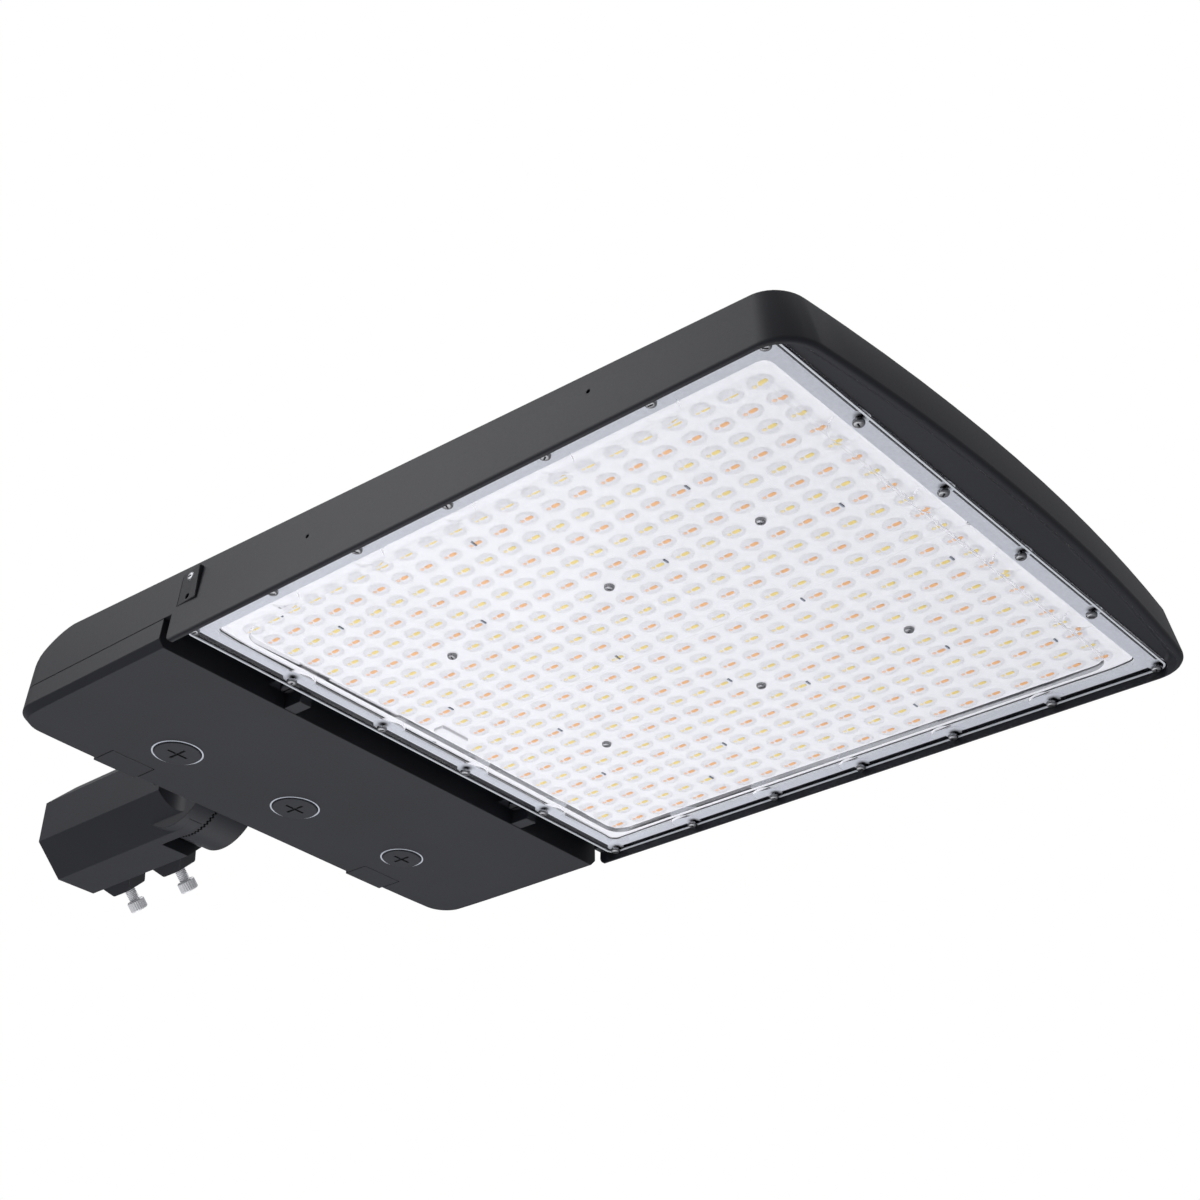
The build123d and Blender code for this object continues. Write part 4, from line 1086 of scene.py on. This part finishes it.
class AREALIGHT_OT_stage(bpy.types.Operator):
    """Pale floor, white surroundings, three softboxes and the camera"""

    bl_idname = "arealight.stage"
    bl_label = "Stage"

    FLOOR_SIZE = 14
    FLOOR_CENTRE = (0.4, 0)
    SOFTBOXES = (
        ("under", (-0.1, 0.15, -1.4), 1.7),
        ("side", (-0.3, -1.4, 0.9), 1.4),
        ("top", (0.3, 0.3, 2.0), 1.8),
    )

    def execute(self, context):
        stage = context.scene.area_light_stage
        context.scene.view_settings.view_transform = "Standard"
        self.floor(stage)
        self.surroundings(context.scene, stage)
        middle = (HOUSING_LOW + HOUSING_HIGH) / 2
        for side, place, size in self.SOFTBOXES:
            power = getattr(stage, f"{side}_power")
            self.softbox(f"{side}_softbox", Vector(place), middle, size, power)
        self.camera(context.scene)
        return {"FINISHED"}

    def floor(self, stage):
        floor = start_piece(
            "studio_floor", bpy.ops.mesh.primitive_plane_add,
            size=self.FLOOR_SIZE, location=(*self.FLOOR_CENTRE, stage.floor_z),
        )
        bpy.ops.mesh.subdivide(number_cuts=3)
        bpy.ops.object.mode_set(mode="OBJECT")
        activate(floor)
        bpy.ops.object.transform_apply(location=True, rotation=True, scale=True)
        # Matt and pale, so that it keeps a shadow
        paper = grained("studio_paper", linear("eeeff1"), linear("f3f4f5"), 0.4, 0.8)
        floor.data.materials.append(paper)

    def surroundings(self, scene, stage):
        """White to the camera, through the lens and faintly in gloss, a soft grey sky as light.

        What has left a matt surface meets the sky alone, so the white adds no light to the object.
        """
        world = bpy.data.worlds.new("studio")
        scene.world = world
        world.use_nodes = True
        tree = world.node_tree
        tree.nodes.clear()
        path = add_node(tree, "ShaderNodeLightPath")
        gloss = add_node(
            tree, "ShaderNodeMath", {"operation": "MULTIPLY"}, {0: path.outputs["Is Glossy Ray"]}
        )
        gloss.inputs[1].default_value = stage.shown_in_gloss
        seen = add_node(
            tree, "ShaderNodeMath", {"operation": "MAXIMUM"},
            {0: path.outputs["Is Camera Ray"], 1: path.outputs["Is Transmission Ray"]},
        )
        either = add_node(
            tree, "ShaderNodeMath", {"operation": "MAXIMUM"},
            {0: seen.outputs["Value"], 1: gloss.outputs["Value"]},
        )
        unlit = add_node(
            tree, "ShaderNodeMath", {"operation": "LESS_THAN"}, {0: path.outputs["Diffuse Depth"]}
        )
        unlit.inputs[1].default_value = 0.5
        shown = add_node(
            tree, "ShaderNodeMath", {"operation": "MULTIPLY"},
            {0: either.outputs["Value"], 1: unlit.outputs["Value"]},
        )
        sky = add_node(tree, "ShaderNodeBackground", {"Color": linear("f5f6fb"), "Strength": stage.sky})
        white = add_node(tree, "ShaderNodeBackground", {"Color": (1, 1, 1, 1), "Strength": 1.0})
        mix = add_node(tree, "ShaderNodeMixShader", None, {"Fac": shown.outputs["Value"]})
        tree.links.new(sky.outputs["Background"], mix.inputs[1])
        tree.links.new(white.outputs["Background"], mix.inputs[2])
        add_node(tree, "ShaderNodeOutputWorld", None, {"Surface": mix.outputs["Shader"]})

    def softbox(self, name, place, target, size, power):
        lamp = bpy.data.lights.new(name, "AREA")
        lamp.shape = "SQUARE"
        lamp.size = size
        lamp.energy = power
        lamp.color = linear("fdfdff")[:3]
        softbox = bpy.data.objects.new(name, lamp)
        bpy.context.scene.collection.objects.link(softbox)
        softbox.location = place
        softbox.rotation_euler = (target - place).to_track_quat("-Z", "Y").to_euler()
        softbox.visible_camera = False

    def camera(self, scene):
        data = bpy.data.cameras.new("photo_camera")
        data.lens = CAMERA_LENS
        data.sensor_width = CAMERA_SENSOR
        camera = bpy.data.objects.new("photo_camera", data)
        scene.collection.objects.link(camera)
        back = CAMERA_RIGHT.cross(CAMERA_UP)
        turn = Matrix((CAMERA_RIGHT, CAMERA_UP, back)).transposed().to_4x4()
        camera.matrix_world = Matrix.Translation(CAMERA_PLACE) @ turn
        scene.camera = camera


class AREALIGHT_PT_sidebar(bpy.types.Panel):
    """Lists the pieces of the light and the stage"""

    bl_label = "Area light"
    bl_idname = "AREALIGHT_PT_sidebar"
    bl_space_type = "VIEW_3D"
    bl_region_type = "UI"
    bl_category = "Area light"

    def draw(self, context):
        column = self.layout.column(align=True)
        for operator in OPERATORS:
            column.operator(operator.bl_idname)
        for name in GROUPS:
            settings = getattr(context.scene, name)
            box = self.layout.box()
            for key in settings.bl_rna.properties.keys():
                if key not in ("rna_type", "name"):
                    box.prop(settings, key)


GROUPS = {
    "area_light_colours": AreaLightColours,
    "area_light_leds": AreaLightLeds,
    "area_light_fasteners": AreaLightFasteners,
    "area_light_stage": AreaLightStage,
}
OPERATORS = (
    AREALIGHT_OT_stage,
    AREALIGHT_OT_castings,
    AREALIGHT_OT_caps,
    AREALIGHT_OT_boards,
    AREALIGHT_OT_led_chips,
    AREALIGHT_OT_lens,
    AREALIGHT_OT_lens_screws,
    AREALIGHT_OT_side_screws,
    AREALIGHT_OT_clamp_screws,
    AREALIGHT_OT_hardware,
)
CLASSES = (*GROUPS.values(), *OPERATORS, AREALIGHT_PT_sidebar)


def register():
    for cls in CLASSES:
        bpy.utils.register_class(cls)
    for name, group in GROUPS.items():
        setattr(bpy.types.Scene, name, bpy.props.PointerProperty(type=group))


def unregister():
    for name in GROUPS:
        delattr(bpy.types.Scene, name)
    for cls in reversed(CLASSES):
        bpy.utils.unregister_class(cls)


def main():
    register()
    bpy.ops.arealight.stage()
    bpy.ops.arealight.castings()
    bpy.ops.arealight.caps()
    bpy.ops.arealight.boards()
    bpy.ops.arealight.led_chips()
    bpy.ops.arealight.lens()
    bpy.ops.arealight.lens_screws()
    bpy.ops.arealight.side_screws()
    bpy.ops.arealight.clamp_screws()
    bpy.ops.arealight.hardware()


if __name__ == "__main__":
    main()
